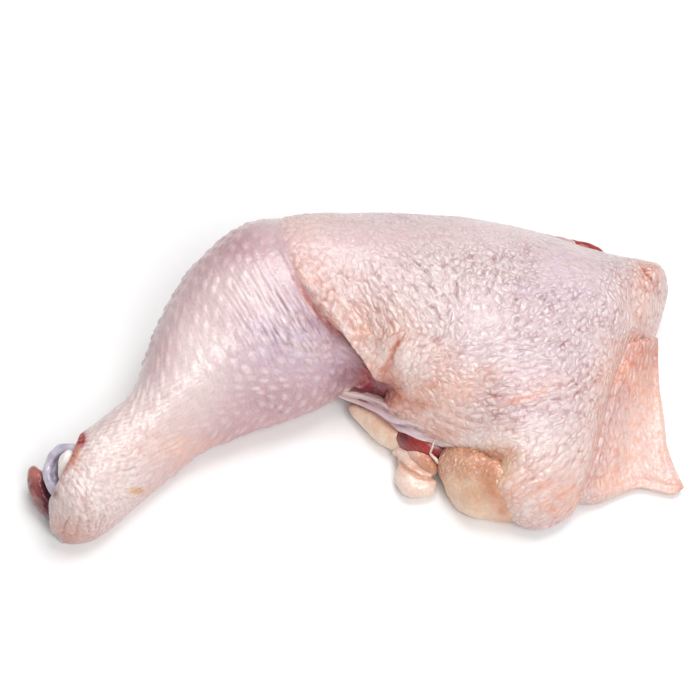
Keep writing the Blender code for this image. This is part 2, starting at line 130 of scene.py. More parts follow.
# An ellipsoid's middle and half-sizes, its turn about Z and its tilt in degrees, how much its sides widen
# along its length, how uneven it is, and where its waves start
Lump = namedtuple("Lump", "middle radii turn tilt widening uneven phase")
LUMPS = {
    "hock_tendon": Lump((-90.9, -42.4, 22.3), (4.6, 2.3, 2.0), 60, -31, 0.45, 0.10, 0.6),
    "shank_muscle": Lump((-99.7, -44.3, 6.4), (9.6, 3.6, 5.0), 116, -22, 0.15, 0.12, 1.4),
    "fat_lobe": Lump((10.0, -15.6, 5.4), (12.2, 6.4, 5.4), -36, 0, 0.48, 0.07, 1.0),
    "fat_scrap": Lump((20.0, -31.8, 3.6), (10.2, 7.0, 4.2), -66, 0, 0.0, 0.20, 2.2),
    "scrap_fold": Lump((22.5, -30.0, 6.6), (6.4, 3.2, 3.4), -48, 0, 0.2, 0.15, 0.9),
    "thigh_muscle": Lump((23.2, -25.6, 8.6), (9.0, 5.2, 5.4), -32, 0, 0.0, 0.08, 0.4),
    "fat_pad": Lump((41.0, -38.8, 8.0), (16.4, 10.2, 12.6), -38, 0, 0.10, 0.10, 3.0),
    "back_muscle": Lump((78.5, 45.2, 19.0), (8.5, 3.4, 4.5), -16, 0, 0.0, 0.06, 2.0),
}

# ---------------------------------------------------------------------------------------------------------
# The camera, which also says where a point shows in the photograph

CAMERA_TILT = np.radians(55)  # how far it looks down
CAMERA_DISTANCE = 700.0  # from the point it looks at, mm
CAMERA_AIM = np.array((-0.7, 17.6, 0.0))  # that point, mm in the sketch frame
CAMERA_LENS, CAMERA_SENSOR = 105.12, 36.0
PHOTO_SIZE = 700  # pixels a side
PIXEL = CAMERA_DISTANCE * CAMERA_SENSOR / CAMERA_LENS / PHOTO_SIZE  # what a pixel spans there, mm
LOOKING = np.array((0, np.cos(CAMERA_TILT), -np.sin(CAMERA_TILT)))
PICTURE_UP = np.array((0, np.sin(CAMERA_TILT), np.cos(CAMERA_TILT)))
CAMERA_PLACE = CAMERA_AIM - CAMERA_DISTANCE * LOOKING


def photo_place(point):
    """Where each point shows in the photograph, as column and row: its way across and up the picture,
    divided by its depth."""
    way = point - CAMERA_PLACE
    scale = CAMERA_LENS / CAMERA_SENSOR * PHOTO_SIZE / (way @ LOOKING)
    return np.stack([PHOTO_SIZE / 2 + scale * way[..., 0], PHOTO_SIZE / 2 - scale * (way @ PICTURE_UP)], -1)


# ---------------------------------------------------------------------------------------------------------
# Curves and noise


def smooth_curve(knots, values, at):
    """A smooth curve through the values: cubic pieces, with each knot's slope from its two neighbours."""
    knots, values, at = np.asarray(knots, float), np.asarray(values, float), np.asarray(at, float)
    columns = values[:, None] if values.ndim == 1 else values
    step = np.diff(knots)
    rise = np.diff(columns, axis=0) / step[:, None]
    slope = np.empty_like(columns)
    slope[0], slope[-1] = rise[0], rise[-1]
    slope[1:-1] = (rise[:-1] * step[1:, None] + rise[1:] * step[:-1, None]) / (step[1:] + step[:-1])[:, None]
    i = np.clip(np.searchsorted(knots, at, side="right") - 1, 0, len(step) - 1)
    t, h = ((at - knots[i]) / step[i])[..., None], step[i][..., None]
    result = ((1 + 2 * t) * (1 - t) ** 2 * columns[i] + t * (1 - t) ** 2 * h * slope[i]
              + t * t * (3 - 2 * t) * columns[i + 1] + t * t * (t - 1) * h * slope[i + 1])
    return result[..., 0] if values.ndim == 1 else result


def route_points(route, count):
    """Evenly spaced points along a smooth curve through the route's own points."""
    points = np.array(route, float)
    along = np.concatenate([[0], np.cumsum(np.linalg.norm(np.diff(points, axis=0), axis=1))])
    return smooth_curve(along, points, np.linspace(0, along[-1], count))


def ramp(low, high, x):
    """0 below low, 1 above high, and a smooth S between them."""
    t = np.clip((x - low) / (high - low), 0, 1)
    return t * t * (3 - 2 * t)


def bell(x, middle, half):
    """1 at the middle, falling off on both sides as a bell curve."""
    return np.exp(-((x - middle) / half) ** 2)


def scrambled(numbers, seed):
    """A repeatable random number from 0 to 1 for each row of whole numbers."""
    bits = np.full(numbers.shape[:-1], seed * 40503 + 977, np.uint32)
    for axis in range(numbers.shape[-1]):
        bits ^= (numbers[..., axis] & 0xFFFFFFFF).astype(np.uint32) * np.uint32(73856093)
        bits = (bits ^ (bits >> 15)) * np.uint32(2246822519)
        bits = (bits ^ (bits >> 13)) * np.uint32(3266489917)
    return (bits ^ (bits >> 16)).astype(np.float32) / np.float32(2 ** 32)


def waves(point, size, seed):
    """Soft random waves about that size across, from -1 to 1: random values on a lattice, joined smoothly."""
    scaled = point / size
    cell = np.floor(scaled).astype(np.int64)
    t = scaled - cell
    t = t * t * t * (t * (t * 6 - 15) + 10)
    total = 0
    for corner in itertools.product((0, 1), repeat=point.shape[-1]):
        weight = np.prod(np.where(np.array(corner, bool), t, 1 - t), axis=-1)
        total = total + weight * scrambled(cell + corner, seed)
    return 2 * total - 1


def cells(point, size, seed, scatter=0.8, along=None, longer=1.0):
    """Distances to the nearest two of many scattered seeds, one in each cell of a lattice, as shares of the
    cell size, and the nearest seed's own random number. With a unit way along at each point, distances that
    way count for less, so that the cells come out longer that way."""
    scaled = (point / size).astype(np.float32)
    home = np.floor(scaled).astype(np.int64)
    first = np.full(point.shape[:-1], 9, np.float32)
    second, number = first.copy(), first.copy()
    dims = point.shape[-1]
    for step in itertools.product((-1, 0, 1), repeat=dims):
        cell = home + step
        jitter = np.stack([scrambled(cell, seed + k) for k in range(dims)], -1) - np.float32(0.5)
        way = scaled - (cell + np.float32(0.5) + scatter * jitter)
        squared = (way ** 2).sum(-1)
        if along is not None:
            squared = squared - (1 - 1 / longer ** 2) * (way * along).sum(-1) ** 2
        distance = np.sqrt(np.maximum(squared, 0))
        closer = distance < first
        second = np.where(closer, first, np.minimum(second, distance))
        number = np.where(closer, scrambled(cell, seed + 9), number)
        first = np.where(closer, distance, first)
    return first, second, number


def ripples(point, across, spacing, reach, seed):
    """Wrinkles that fork and end: many short wave trains, each within reach of a random place of its own and
    with a random start, whose waves follow each other across the skin at that spacing. From -1 to 1."""
    scaled = (point / reach).astype(np.float32)
    home = np.floor(scaled).astype(np.int64)
    across = across.astype(np.float32)
    total = np.zeros(point.shape[:-1], np.float32)
    for step in itertools.product((-1, 0, 1), repeat=3):
        cell = home + step
        way = scaled - cell - np.stack([scrambled(cell, seed + k) for k in range(3)], -1)
        weight = np.clip(1 - (way ** 2).sum(-1), 0, 1) ** 2
        turns = (way * across).sum(-1) * np.float32(reach / spacing) + scrambled(cell, seed + 5)
        total += weight * np.cos(2 * np.pi * turns)
    return np.tanh(0.8 * total / total.std())


def folded(point, way, spacing, reach, seed):
    """Soft folds side by side with narrow valleys between them: from 0 in a valley to 1 on a fold."""
    return np.abs(ripples(point, np.array(way) + 0 * point, spacing, reach, seed)) ** 0.7


def stretched(point, direction, factor):
    """The points squeezed along a direction, so that a pattern read there comes out longer that way."""
    direction = np.asarray(direction, float) / np.linalg.norm(direction)
    return point - (1 - 1 / factor) * (point @ direction)[..., None] * direction


# ---------------------------------------------------------------------------------------------------------
# Surfaces


def station_places():
    """Each station's distance along the leg's middle line."""
    middles = np.array([(np.array(s.near[:2]) + s.far[:2]) / 2 for s in STATIONS])
    steps = np.linalg.norm(np.diff(middles, axis=0), axis=1)
    return np.concatenate([[0], np.cumsum(np.maximum(steps, 5))])


PLACES = station_places()
STATION_NAMES = [s.name for s in STATIONS]
FOLD_PLACE = PLACES[STATION_NAMES.index("fold")]
# The sections on which the columns of the drumstick and of the thigh are spaced evenly along the skin
MID_DRUMSTICK, MID_THIGH = FOLD_PLACE * 0.75, FOLD_PLACE + 62


def leg_point(place, angle):
    """The leg's bare form: a superellipse from the near edge over the top to the far edge and underneath.

    place is the distance along the leg, and angle goes round the section as in FOLD_LINE, in radians."""
    place, angle = np.broadcast_arrays(place, angle)
    near = smooth_curve(PLACES, [s.near for s in STATIONS], place)
    far = smooth_curve(PLACES, [s.far for s in STATIONS], place)
    top = smooth_curve(PLACES, [s.top for s in STATIONS], place)
    across, up = np.cos(angle), np.sin(angle)
    share = -np.sign(across) * np.abs(across) ** (2 / SIDE_ROUND)
    point = (near + far) / 2 + (far - near) / 2 * share[..., None]
    edge_height, middle_height = point[..., 2], (near[..., 2] + far[..., 2]) / 2
    above = (top - middle_height) * np.abs(up) ** (2 / TOP_ROUND)
    below = -edge_height * PRESSED_IN * np.abs(up) ** (2 / UNDER_ROUND)
    height = edge_height + np.where(up >= 0, above, below)
    return np.stack([point[..., 0], point[..., 1], height], -1)


def fold_place(angle):
    """Where the thigh's skin edge lies along the leg, at each angle round the section."""
    degrees = np.degrees(np.mod(angle, 2 * np.pi))
    return FOLD_PLACE + smooth_curve(*np.transpose(FOLD_LINE), degrees)


def by_the_hollow(angle):
    """1 on the side of the leg by the knee's hollow, and fading to 0 round the section."""
    degrees = np.degrees(np.mod(angle + np.pi, 2 * np.pi)) - 180
    return bell(degrees, 25, 50)


def over_the_top(degrees):
    """1 where a line round the section runs over the top of the leg, and fading to 0 down its sides."""
    return ramp(62, 95, degrees) * (1 - ramp(170, 200, degrees))


def normals_of(grid, wrapped=True):
    """Outward normals of a grid: along its rows' way, crossed with the way round."""
    if wrapped:
        round_it = np.roll(grid, -1, 1) - np.roll(grid, 1, 1)
    else:
        round_it = np.gradient(grid, axis=1)
    outward = np.cross(np.gradient(grid, axis=0), round_it)
    return outward / (np.linalg.norm(outward, axis=-1, keepdims=True) + 1e-9)


def faces_inward(grid):
    """Whether the columns of a closed grid go round the way that turns its normals inward."""
    return ((grid - grid.mean(1, keepdims=True)) * normals_of(grid)).sum(-1).mean() < 0


def ring_angles(place, count, thin=0.22):
    """Angles round a section, from underneath it over both sides: evenly spaced along its skin, and further
    apart where it lies on the table."""
    fine = np.linspace(-np.pi / 2, 1.5 * np.pi, 3001)
    steps = np.linalg.norm(np.diff(leg_point(np.full(fine.shape, place), fine), axis=0), axis=1)
    middle = np.degrees((fine[1:] + fine[:-1]) / 2)
    steps *= thin + (1 - thin) * ramp(-50, -22, middle) * (1 - ramp(202, 230, middle))
    along = np.concatenate([[0], np.cumsum(steps)])
    return np.interp(np.arange(count) / count * along[-1], along, fine)


def skin_chart(grid, angle):
    """Distances along the skin: from the last row back along it, and round it from the top of the section."""
    along = np.linalg.norm(np.diff(grid, axis=0), axis=-1)
    reach = np.concatenate([np.cumsum(along[::-1], axis=0)[::-1], np.zeros((1, grid.shape[1]))])
    steps = np.linalg.norm(np.diff(grid, axis=1), axis=-1)
    girth = np.concatenate([np.zeros((grid.shape[0], 1)), np.cumsum(steps, axis=1)], axis=1)
    top = np.argmin(np.abs(angle.ravel() - np.pi / 2))
    return np.stack([-reach, girth - girth[:, top:top + 1]], -1)


def closing_rings(ring, inner, bulge, count=10):
    """Rings that close a tube's end as a low dome: the ring shrinks as a cosine and moves out as a sine."""
    middle = ring.mean(0)
    out = middle - inner.mean(0)
    out = out / np.linalg.norm(out)
    turn = np.linspace(0, np.pi / 2, count + 1)[1:-1, None, None]
    return middle + (ring - middle) * np.cos(turn) + out * bulge * np.sin(turn)


def flap_sheet(rows, columns):
    """The loose skin at the hip end: a Coons patch, blended from its four rims."""
    inner, outer = route_points(FLAP_INNER, columns), route_points(FLAP_OUTER, columns)
    top, bottom = route_points(FLAP_TOP, rows), route_points(FLAP_BOTTOM, rows)
    u = np.linspace(0, 1, rows)[None, :, None]
    v = np.linspace(0, 1, columns)[:, None, None]
    sides = (1 - u) * inner[:, None] + u * outer[:, None]
    ends = (1 - v) * top[None] + v * bottom[None]
    corners = ((1 - u) * (1 - v) * inner[0] + u * (1 - v) * outer[0]
               + (1 - u) * v * inner[-1] + u * v * outer[-1])
    return sides + ends - corners


def tube_grid(route, radius, rows, columns, flat=1.0):
    """A profile carried along a route: an ellipse, whose radius along the route is a function of the share
    of the way, and whose height is that times flat."""
    middle = route_points(route, rows)
    way = np.gradient(middle, axis=0)
    way /= np.linalg.norm(way, axis=1, keepdims=True)
    side = np.cross(way, (0, 0, 1))
    side /= np.linalg.norm(side, axis=1, keepdims=True)
    up = np.cross(side, way)
    share = np.linspace(0, 1, rows)
    turn = np.linspace(0, 2 * np.pi, columns, endpoint=False)[None, :, None]
    size = radius(share)[:, None, None]
    return middle[:, None] + size * (np.cos(turn) * side[:, None] + flat * np.sin(turn) * up[:, None])


def tapered(radius, ends=0.45):
    """A radius that thins towards both ends as a sine, and closes within the last tenth."""
    def size(share):
        closing = np.sqrt(np.clip(1 - ((np.abs(2 * share - 1) - 0.9) / 0.1).clip(0, 1) ** 2, 0, 1))
        return radius * (ends + (1 - ends) * np.sin(np.pi * share)) * closing
    return size


def lump_grid(shape, rows, columns):
    """An ellipsoid that widens along its length and swells in a few low waves."""
    polar = np.linspace(0, np.pi, rows + 2)[1:-1, None]
    turn = np.linspace(0, 2 * np.pi, columns, endpoint=False)[None, :]
    unit = np.stack(np.broadcast_arrays(
        np.cos(polar), np.sin(polar) * np.cos(turn), np.sin(polar) * np.sin(turn)), -1)
    round_z, level = np.arctan2(unit[..., 1], unit[..., 0]), np.hypot(unit[..., 0], unit[..., 1])
    swell = 1 + shape.uneven * (np.sin(2 * round_z + shape.phase) * level ** 2
                                + 0.6 * np.sin(3 * round_z + 2 * shape.phase + 1) * level ** 3)
    point = unit * swell[..., None] * np.array(shape.radii)
    point[..., 1:] *= 1 + shape.widening * unit[..., :1]
    for axes, angle in (((2, 0), np.radians(shape.tilt)), ((0, 1), np.radians(shape.turn))):
        a, b = point[..., axes[0]].copy(), point[..., axes[1]].copy()
        point[..., axes[0]] = np.cos(angle) * a - np.sin(angle) * b
        point[..., axes[1]] = np.sin(angle) * a + np.cos(angle) * b
    return point + shape.middle


# ---------------------------------------------------------------------------------------------------------
# Meshes


def grid_faces(rows, columns, wrapped=True):
    """Quads between neighbouring rows and columns, as rows of four point numbers."""
    i, j = np.meshgrid(np.arange(rows - 1), np.arange(columns if wrapped else columns - 1), indexing="ij")
    k = (j + 1) % columns
    return np.stack([i * columns + j, (i + 1) * columns + j, (i + 1) * columns + k, i * columns + k],
                    -1).reshape(-1, 4)


def mesh_from_arrays(name, points, quads, triangles, masks):
    """A mesh object from sketch millimetres, with one number for each point under each mask's name."""
    placed = (points - (*SKETCH_CENTRE, 0)) * MM
    mesh = bpy.data.meshes.new(name)
    mesh.vertices.add(len(placed))
    mesh.vertices.foreach_set("co", placed.astype(np.float32).ravel())
    corners = np.concatenate([quads.ravel(), triangles.ravel()]).astype(np.int32)
    starts = np.concatenate([4 * np.arange(len(quads)), 4 * len(quads) + 3 * np.arange(len(triangles))])
    mesh.loops.add(len(corners))
    mesh.loops.foreach_set("vertex_index", corners)
    mesh.polygons.add(len(starts))
    mesh.polygons.foreach_set("loop_start", starts.astype(np.int32))
    mesh.update(calc_edges=True)
    mesh.validate()
    for mask, values in masks.items():
        attribute = mesh.attributes.new(mask, "FLOAT", "POINT")
        attribute.data.foreach_set("value", np.asarray(values, np.float32).ravel())
    mesh.shade_smooth()
    made = bpy.data.objects.new(name, mesh)
    bpy.context.scene.collection.objects.link(made)
    return made


def closed_surface(name, grid, masks):
    """A mesh from a grid that is closed round its columns, with a point at the middle of each end. A grid
    whose columns go round the other way is turned over, so that its faces look outward."""
    if faces_inward(grid):
        grid, masks = grid[:, ::-1], {mask: values[:, ::-1] for mask, values in masks.items()}
    rows, columns = grid.shape[:2]
    ends = [grid[0].mean(0), grid[-1].mean(0)]
    j = np.arange(columns)
    k = (j + 1) % columns
    first, last, start = rows * columns, rows * columns + 1, (rows - 1) * columns
    triangles = np.concatenate([
        np.stack([np.full(columns, first), j, k], -1),
        np.stack([np.full(columns, last), start + k, start + j], -1)])
    full = {mask: np.concatenate([np.ravel(values), [np.mean(values[0]), np.mean(values[-1])]])
            for mask, values in masks.items()}
    return mesh_from_arrays(name, np.vstack([grid.reshape(-1, 3), ends]), grid_faces(rows, columns),
                            triangles, full)


def two_sided_sheet(name, upper, lower, masks):
    """A closed mesh from two open grids that meet along their rims."""
    rows, columns = upper.shape[:2]
    top = np.arange(rows * columns).reshape(rows, columns)
    under = top.copy()
    under[1:-1, 1:-1] = rows * columns + np.arange((rows - 2) * (columns - 2)).reshape(rows - 2, columns - 2)
    faces = grid_faces(rows, columns, wrapped=False)
    quads = np.concatenate([faces, under.ravel()[faces][:, ::-1]])
    points = np.vstack([upper.reshape(-1, 3), lower[1:-1, 1:-1].reshape(-1, 3)])
    full = {mask: np.concatenate([np.ravel(values), np.ravel(values[1:-1, 1:-1])])
            for mask, values in masks.items()}
    return mesh_from_arrays(name, points, quads, np.zeros((0, 3), int), full)


# ---------------------------------------------------------------------------------------------------------
# Materials


def linear_colour(sheet_hex):
    """An sRGB hex colour as linear RGBA."""
    srgb = np.array([int(sheet_hex[i:i + 2], 16) for i in (0, 2, 4)]) / 255
    linear = np.where(srgb <= 0.04045, srgb / 12.92, ((srgb + 0.055) / 1.055) ** 2.4)
    return (*linear.tolist(), 1.0)


def add_node(tree, kind, settings=None, **links):
    """A new node: settings are its own properties, and links are its sockets' values or the sockets they
    come from, under the socket's name with underscores, or under _ and its number."""
    node = tree.nodes.new(kind)
    for key, value in (settings or {}).items():
        setattr(node, key, value)
    for key, value in links.items():
        spot = int(key[1:]) if key[1:].isdigit() else key.replace("_", " ")
        if isinstance(value, bpy.types.NodeSocket):
            tree.links.new(value, node.inputs[spot])
        else:
            node.inputs[spot].default_value = value
    return node


def new_material(name):
    """An empty material, its node tree, and the place in it that patterns are read at."""
    material = bpy.data.materials.new(name)
    material.use_nodes = True
    tree = material.node_tree
    tree.nodes.clear()
    return material, tree, add_node(tree, "ShaderNodeTexCoord").outputs["Object"]


def per_mm(size):
    """The scale that gives a pattern of that size in mm, on Object coordinates, which are metres."""
    return 1 / (size * MM)


def mixed(tree, share, base, over, way="MIX"):
    """One colour laid over another by a share, which may be a number or a socket."""
    return add_node(tree, "ShaderNodeMix", {"data_type": "RGBA", "blend_type": way},
                    _0=share, _6=base, _7=over).outputs[2]


def mask_of(tree, name):
    """What the mask of that name is at each place."""
    return add_node(tree, "ShaderNodeAttribute", {"attribute_name": name}).outputs["Fac"]


def product(tree, a, b, clamp=False):
    """a times b."""
    return add_node(tree, "ShaderNodeMath", {"operation": "MULTIPLY", "use_clamp": clamp},
                    _0=a, _1=b).outputs[0]


def product_and(tree, a, b, added, clamp=False):
    """a times b, with a third value added."""
    return add_node(tree, "ShaderNodeMath", {"operation": "MULTIPLY_ADD", "use_clamp": clamp},
                    _0=a, _1=b, _2=added).outputs[0]


def noise(tree, place, size, detail=2.0, rough=0.5):
    """Cloudy noise about that size across, in mm, from 0 to 1."""
    return add_node(tree, "ShaderNodeTexNoise", Vector=place, Scale=per_mm(size), Detail=detail,
                    Roughness=rough).outputs["Fac"]


def ranged(tree, value, low, high, to_low=0.0, to_high=1.0, way="LINEAR"):
    """The value carried from the range low to high over to another range, and kept within it."""
    return add_node(tree, "ShaderNodeMapRange", {"interpolation_type": way}, Value=value, From_Min=low,
                    From_Max=high, To_Min=to_low, To_Max=to_high).outputs[0]


def shaded(tree, colour, grain, darkest, lightest):
    """The colour made darker and lighter by a noise."""
    return mixed(tree, 1.0, colour, ranged(tree, grain, 0.3, 0.7, darkest, lightest), "MULTIPLY")


def tinted(tree, colour, tints):
    """The colour with others laid over it, each by the mask of its name."""
    for mask, sheet_hex in tints:
        colour = mixed(tree, mask_of(tree, mask), colour, linear_colour(sheet_hex))
    return colour


def bumped(tree, height, distance, strength=1.0, **under):
    """The normal that a height gives, where 1 is that distance in metres. under may name a Normal to start
    from."""
    return add_node(tree, "ShaderNodeBump", Strength=strength, Distance=distance, Height=height,
                    **under).outputs[0]


def finish_shader(tree, **settings):
    """Joins a shader with those settings to the material's output."""
    shader = add_node(tree, "ShaderNodeBsdfPrincipled", **settings)
    add_node(tree, "ShaderNodeOutputMaterial", Surface=shader.outputs[0])


# The colours laid over the bare skin, in this order, each by the mask of its name, and which of them show
# in blotches. Blush, milk, amber and the dark meat tint also carry painted shade and painted light, as
# noted where the masks are made.
SKIN_TINTS = ("blush", "lilac", "peach", "milk", "fat", "amber", "dark_meat_and_shade", "blood")
PATCHY_TINTS = ("peach", "lilac")
# The ways that the skin's finest wrinkles can run, in degrees up from the photograph's right
WRINKLE_TURNS = (12, 48, 84, 120, 156)
# Where the relief lies, from 0 in a groove to 1 on a ridge, and how much the finest wrinkles and the drawn
# strands beside the knee show
RELIEF_MASKS = ("relief", "network", "streaks")
STRAND_TURN = 122  # the way that those strands run, in degrees up from the photograph's right


def laid_along(tree, place, turn, longer):
    """The place turned so that its X runs that many degrees up from the photograph's right, then squeezed
    along X, so that a pattern read there comes out longer that way."""
    turned = add_node(tree, "ShaderNodeMapping", {"vector_type": "POINT"}, Vector=place,
                      Rotation=(CAMERA_TILT - np.pi / 2, 0, -np.radians(turn))).outputs[0]
    return add_node(tree, "ShaderNodeMapping", {"vector_type": "POINT"}, Vector=turned,
                    Scale=(1 / longer, 1, 1)).outputs[0]


def wrinkle_network(tree, place, size, longer):
    """How far each place is from the nearest groove of finely crackled skin: cells longer one way, whose way
    the masks of WRINKLE_TURNS choose."""
    bend = add_node(tree, "ShaderNodeTexNoise", Vector=place, Scale=per_mm(4.0), Detail=2.0).outputs["Color"]
    bend = add_node(tree, "ShaderNodeVectorMath", {"operation": "MULTIPLY_ADD"}, _0=bend,
                    _1=(0.003, 0.003, 0.003), _2=place).outputs[0]
    total = 0.0
    for turn in WRINKLE_TURNS:
        edge = add_node(tree, "ShaderNodeTexVoronoi", {"feature": "DISTANCE_TO_EDGE"}, Scale=per_mm(size),
                        Vector=laid_along(tree, bend, turn, longer), Randomness=0.9).outputs["Distance"]
        total = product_and(tree, edge, mask_of(tree, f"way_{turn}"), total)
    return total


def raw_skin_material(colours):
    """Raw chicken skin, plucked and chilled: thin, moist and slightly see-through. Pinkish meat and yellowish
    fat show through it, raised follicles and ridges are whiter, and the grooves between them darker, partly
    as their own colour and partly as painted highlight and painted shade, and its wet surface has small
    soft glints."""
    material, tree, place = new_material("raw_chicken_skin")
    mottle = noise(tree, place, 3.2, 3.0, 0.6)
    speckle = noise(tree, place, 0.9, 2.0, 0.7)
    even = ranged(tree, mottle, 0.25, 0.75, 0.70, 1.20)
    patchy = ranged(tree, noise(tree, place, 4.5, 4.0, 0.65), 0.36, 0.64, 0.45, 1.35)
    colour = linear_colour(colours["skin"])
    for tint in SKIN_TINTS:
        share = product(tree, mask_of(tree, tint), patchy if tint in PATCHY_TINTS else even, clamp=True)
        colour = mixed(tree, share, colour, linear_colour(colours[tint]))

    # Ridges are paler, and grooves are mauve, or orange where fat shows through: partly their own colour,
    # partly painted highlight on the ridges and painted shade in the grooves
    relief, network, streaky = [mask_of(tree, name) for name in RELIEF_MASKS]
    edge = wrinkle_network(tree, place, 1.75, 3.4)
    strand = noise(tree, laid_along(tree, place, STRAND_TURN, 16.0), 1.25, 1.0)
    vary = ranged(tree, noise(tree, place, 2.4, 1.0), 0.35, 0.65, 0.30, 1.30)
    top = ranged(tree, edge, 0.06, 0.42, way="SMOOTHSTEP")
    pale = product(tree, product(tree, top, 0.42), vary)
    ridge = product_and(tree, pale, network, ranged(tree, relief, 0.5, 1.0, 0.0, 0.55))
    ridge = product_and(tree, ranged(tree, strand, 0.52, 0.70, 0.0, 0.6), streaky, ridge, clamp=True)
    line = product(tree, ranged(tree, edge, 0.0, 0.20, 0.62, 0.0), vary)
    groove = product_and(tree, line, network, ranged(tree, relief, 0.42, 0.0, 0.0, 0.85))
    groove = product_and(tree, ranged(tree, strand, 0.48, 0.32, 0.0, 0.45), streaky, groove, clamp=True)
    colour = mixed(tree, ridge, colour, linear_colour(colours["ridge"]))
    tint = mixed(tree, mask_of(tree, "peach"), linear_colour(colours["groove"]),
                 linear_colour(colours["warm_groove"]))
    colour = mixed(tree, groove, colour, mixed(tree, 1.0, colour, tint, "MULTIPLY"))
    colour = shaded(tree, colour, speckle, 0.93, 1.05)

    pores = add_node(tree, "ShaderNodeTexVoronoi", {"feature": "F1"}, Vector=place,
                     Scale=per_mm(1.1)).outputs["Distance"]
    normal = bumped(tree, pores, 0.00020, 0.30)
    normal = bumped(tree, speckle, 0.00022, 0.30, Normal=normal)
    normal = bumped(tree, product(tree, strand, streaky), 0.0006, Normal=normal)
    normal = bumped(tree, product(tree, top, network), 0.00028, Normal=normal)
    roughness = ranged(tree, mottle, 0.3, 0.7, 0.40, 0.54)
    finish_shader(tree, Base_Color=colour, Roughness=roughness, Normal=normal, IOR=1.40,
                  Subsurface_Weight=0.16, Subsurface_Radius=(1.0, 0.42, 0.28), Subsurface_Scale=0.0018,
                  Coat_Weight=0.70, Coat_Roughness=0.17, Coat_Normal=normal)
    return material


def fat_material(name, lean, rich, roughness, see_through):
    """Raw poultry fat: soft, waxy and slightly see-through, tan to cream, with a moist sheen."""
    material, tree, place = new_material(name)
    share = ranged(tree, noise(tree, place, 5.0, 3.0, 0.55), 0.35, 0.65)
    colour = mixed(tree, share, linear_colour(lean), linear_colour(rich))
    colour = tinted(tree, colour, (("peach", "DC9A80"), ("milk", "F9EEE4"), ("amber", "BF7A56"),
                                   ("dark_meat_and_shade", "8C4A42")))
    edge, network = wrinkle_network(tree, place, 1.6, 1.6), mask_of(tree, "network")
    line = product(tree, ranged(tree, edge, 0.01, 0.16, 0.5, 0.0), network)
    colour = mixed(tree, line, colour, linear_colour("B9795C"))
    grain = noise(tree, place, 1.1, 2.0, 0.6)
    top = ranged(tree, edge, 0.05, 0.42, way="SMOOTHSTEP")
    normal = bumped(tree, grain, 0.0002, 0.4)
    normal = bumped(tree, product(tree, top, network), 0.00035, Normal=normal)
    colour = shaded(tree, colour, grain, 0.92, 1.06)
    finish_shader(tree, Base_Color=colour, Roughness=roughness, Normal=normal, IOR=1.44,
                  Subsurface_Weight=see_through, Subsurface_Radius=(1.0, 0.6, 0.35), Subsurface_Scale=0.0025,
                  Coat_Weight=0.7, Coat_Roughness=0.12, Coat_Normal=normal)
    return material


def meat_material(name, dark, light, along):
    """Raw poultry meat: dark red muscle in fine parallel fibres, wet, with thin paler strands."""
    material, tree, place = new_material(name)
    strands = noise(tree, laid_along(tree, place, along, 6.0), 0.6, 3.0, 0.6)
    colour = mixed(tree, ranged(tree, strands, 0.42, 0.72), linear_colour(dark), linear_colour(light))
    colour = shaded(tree, colour, noise(tree, place, 4.0), 0.78, 1.1)
    colour = tinted(tree, colour, (("milk", "F0D9D2"), ("peach", "CB7D72"), ("dark_meat_and_shade", "4E2233")))
    normal = bumped(tree, strands, 0.0003, 0.5)
    finish_shader(tree, Base_Color=colour, Roughness=0.34, Normal=normal, IOR=1.40, Subsurface_Weight=0.2,
                  Subsurface_Radius=(1.0, 0.25, 0.15), Subsurface_Scale=0.002, Coat_Weight=0.4,
                  Coat_Roughness=0.12)
    return material


def gristle_material(colours):
    """Joint gristle: smooth, glassy and see-through, bluish where it is thin over the dark bone end."""
    material, tree, place = new_material("joint_gristle")
    cloud = noise(tree, place, 3.0, 3.0)
    colour = mixed(tree, ranged(tree, cloud, 0.35, 0.68), linear_colour(colours["gristle"]),
                   linear_colour(colours["gristle_dark"]))
    colour = tinted(tree, colour, (("dark_meat_and_shade", "6E4258"), ("milk", "E9E3EA"), ("blood", "8E4650")))
    normal = bumped(tree, cloud, 0.0003, 0.25)
    finish_shader(tree, Base_Color=colour, Roughness=0.26, Normal=normal, IOR=1.42, Subsurface_Weight=0.3,
                  Subsurface_Radius=(0.8, 0.6, 0.7), Subsurface_Scale=0.002, Coat_Weight=0.5,
                  Coat_Roughness=0.08)
    return material


def table_material(colour):
    """The table: frosted white acrylic with a weak even light under it, as for product photographs."""
    material, tree, place = new_material("frosted_white_acrylic")
    shade = ranged(tree, noise(tree, place, 2.0), 0.0, 1.0, 0.995, 1.0)
    white = mixed(tree, 1.0, linear_colour(colour), shade, "MULTIPLY")
    finish_shader(tree, Base_Color=white, Roughness=0.7, Emission_Color=linear_colour("FFFFFF"),
                  Emission_Strength=0.03)
    return material


# ---------------------------------------------------------------------------------------------------------
# What the photograph shows at certain places, which are given by their column and row there, in pixels.
# Widths, depths and half-sizes are in mm.

# A spot's middle, half-sizes and strength
Spot = namedtuple("Spot", "column row across up strength", defaults=(1,))
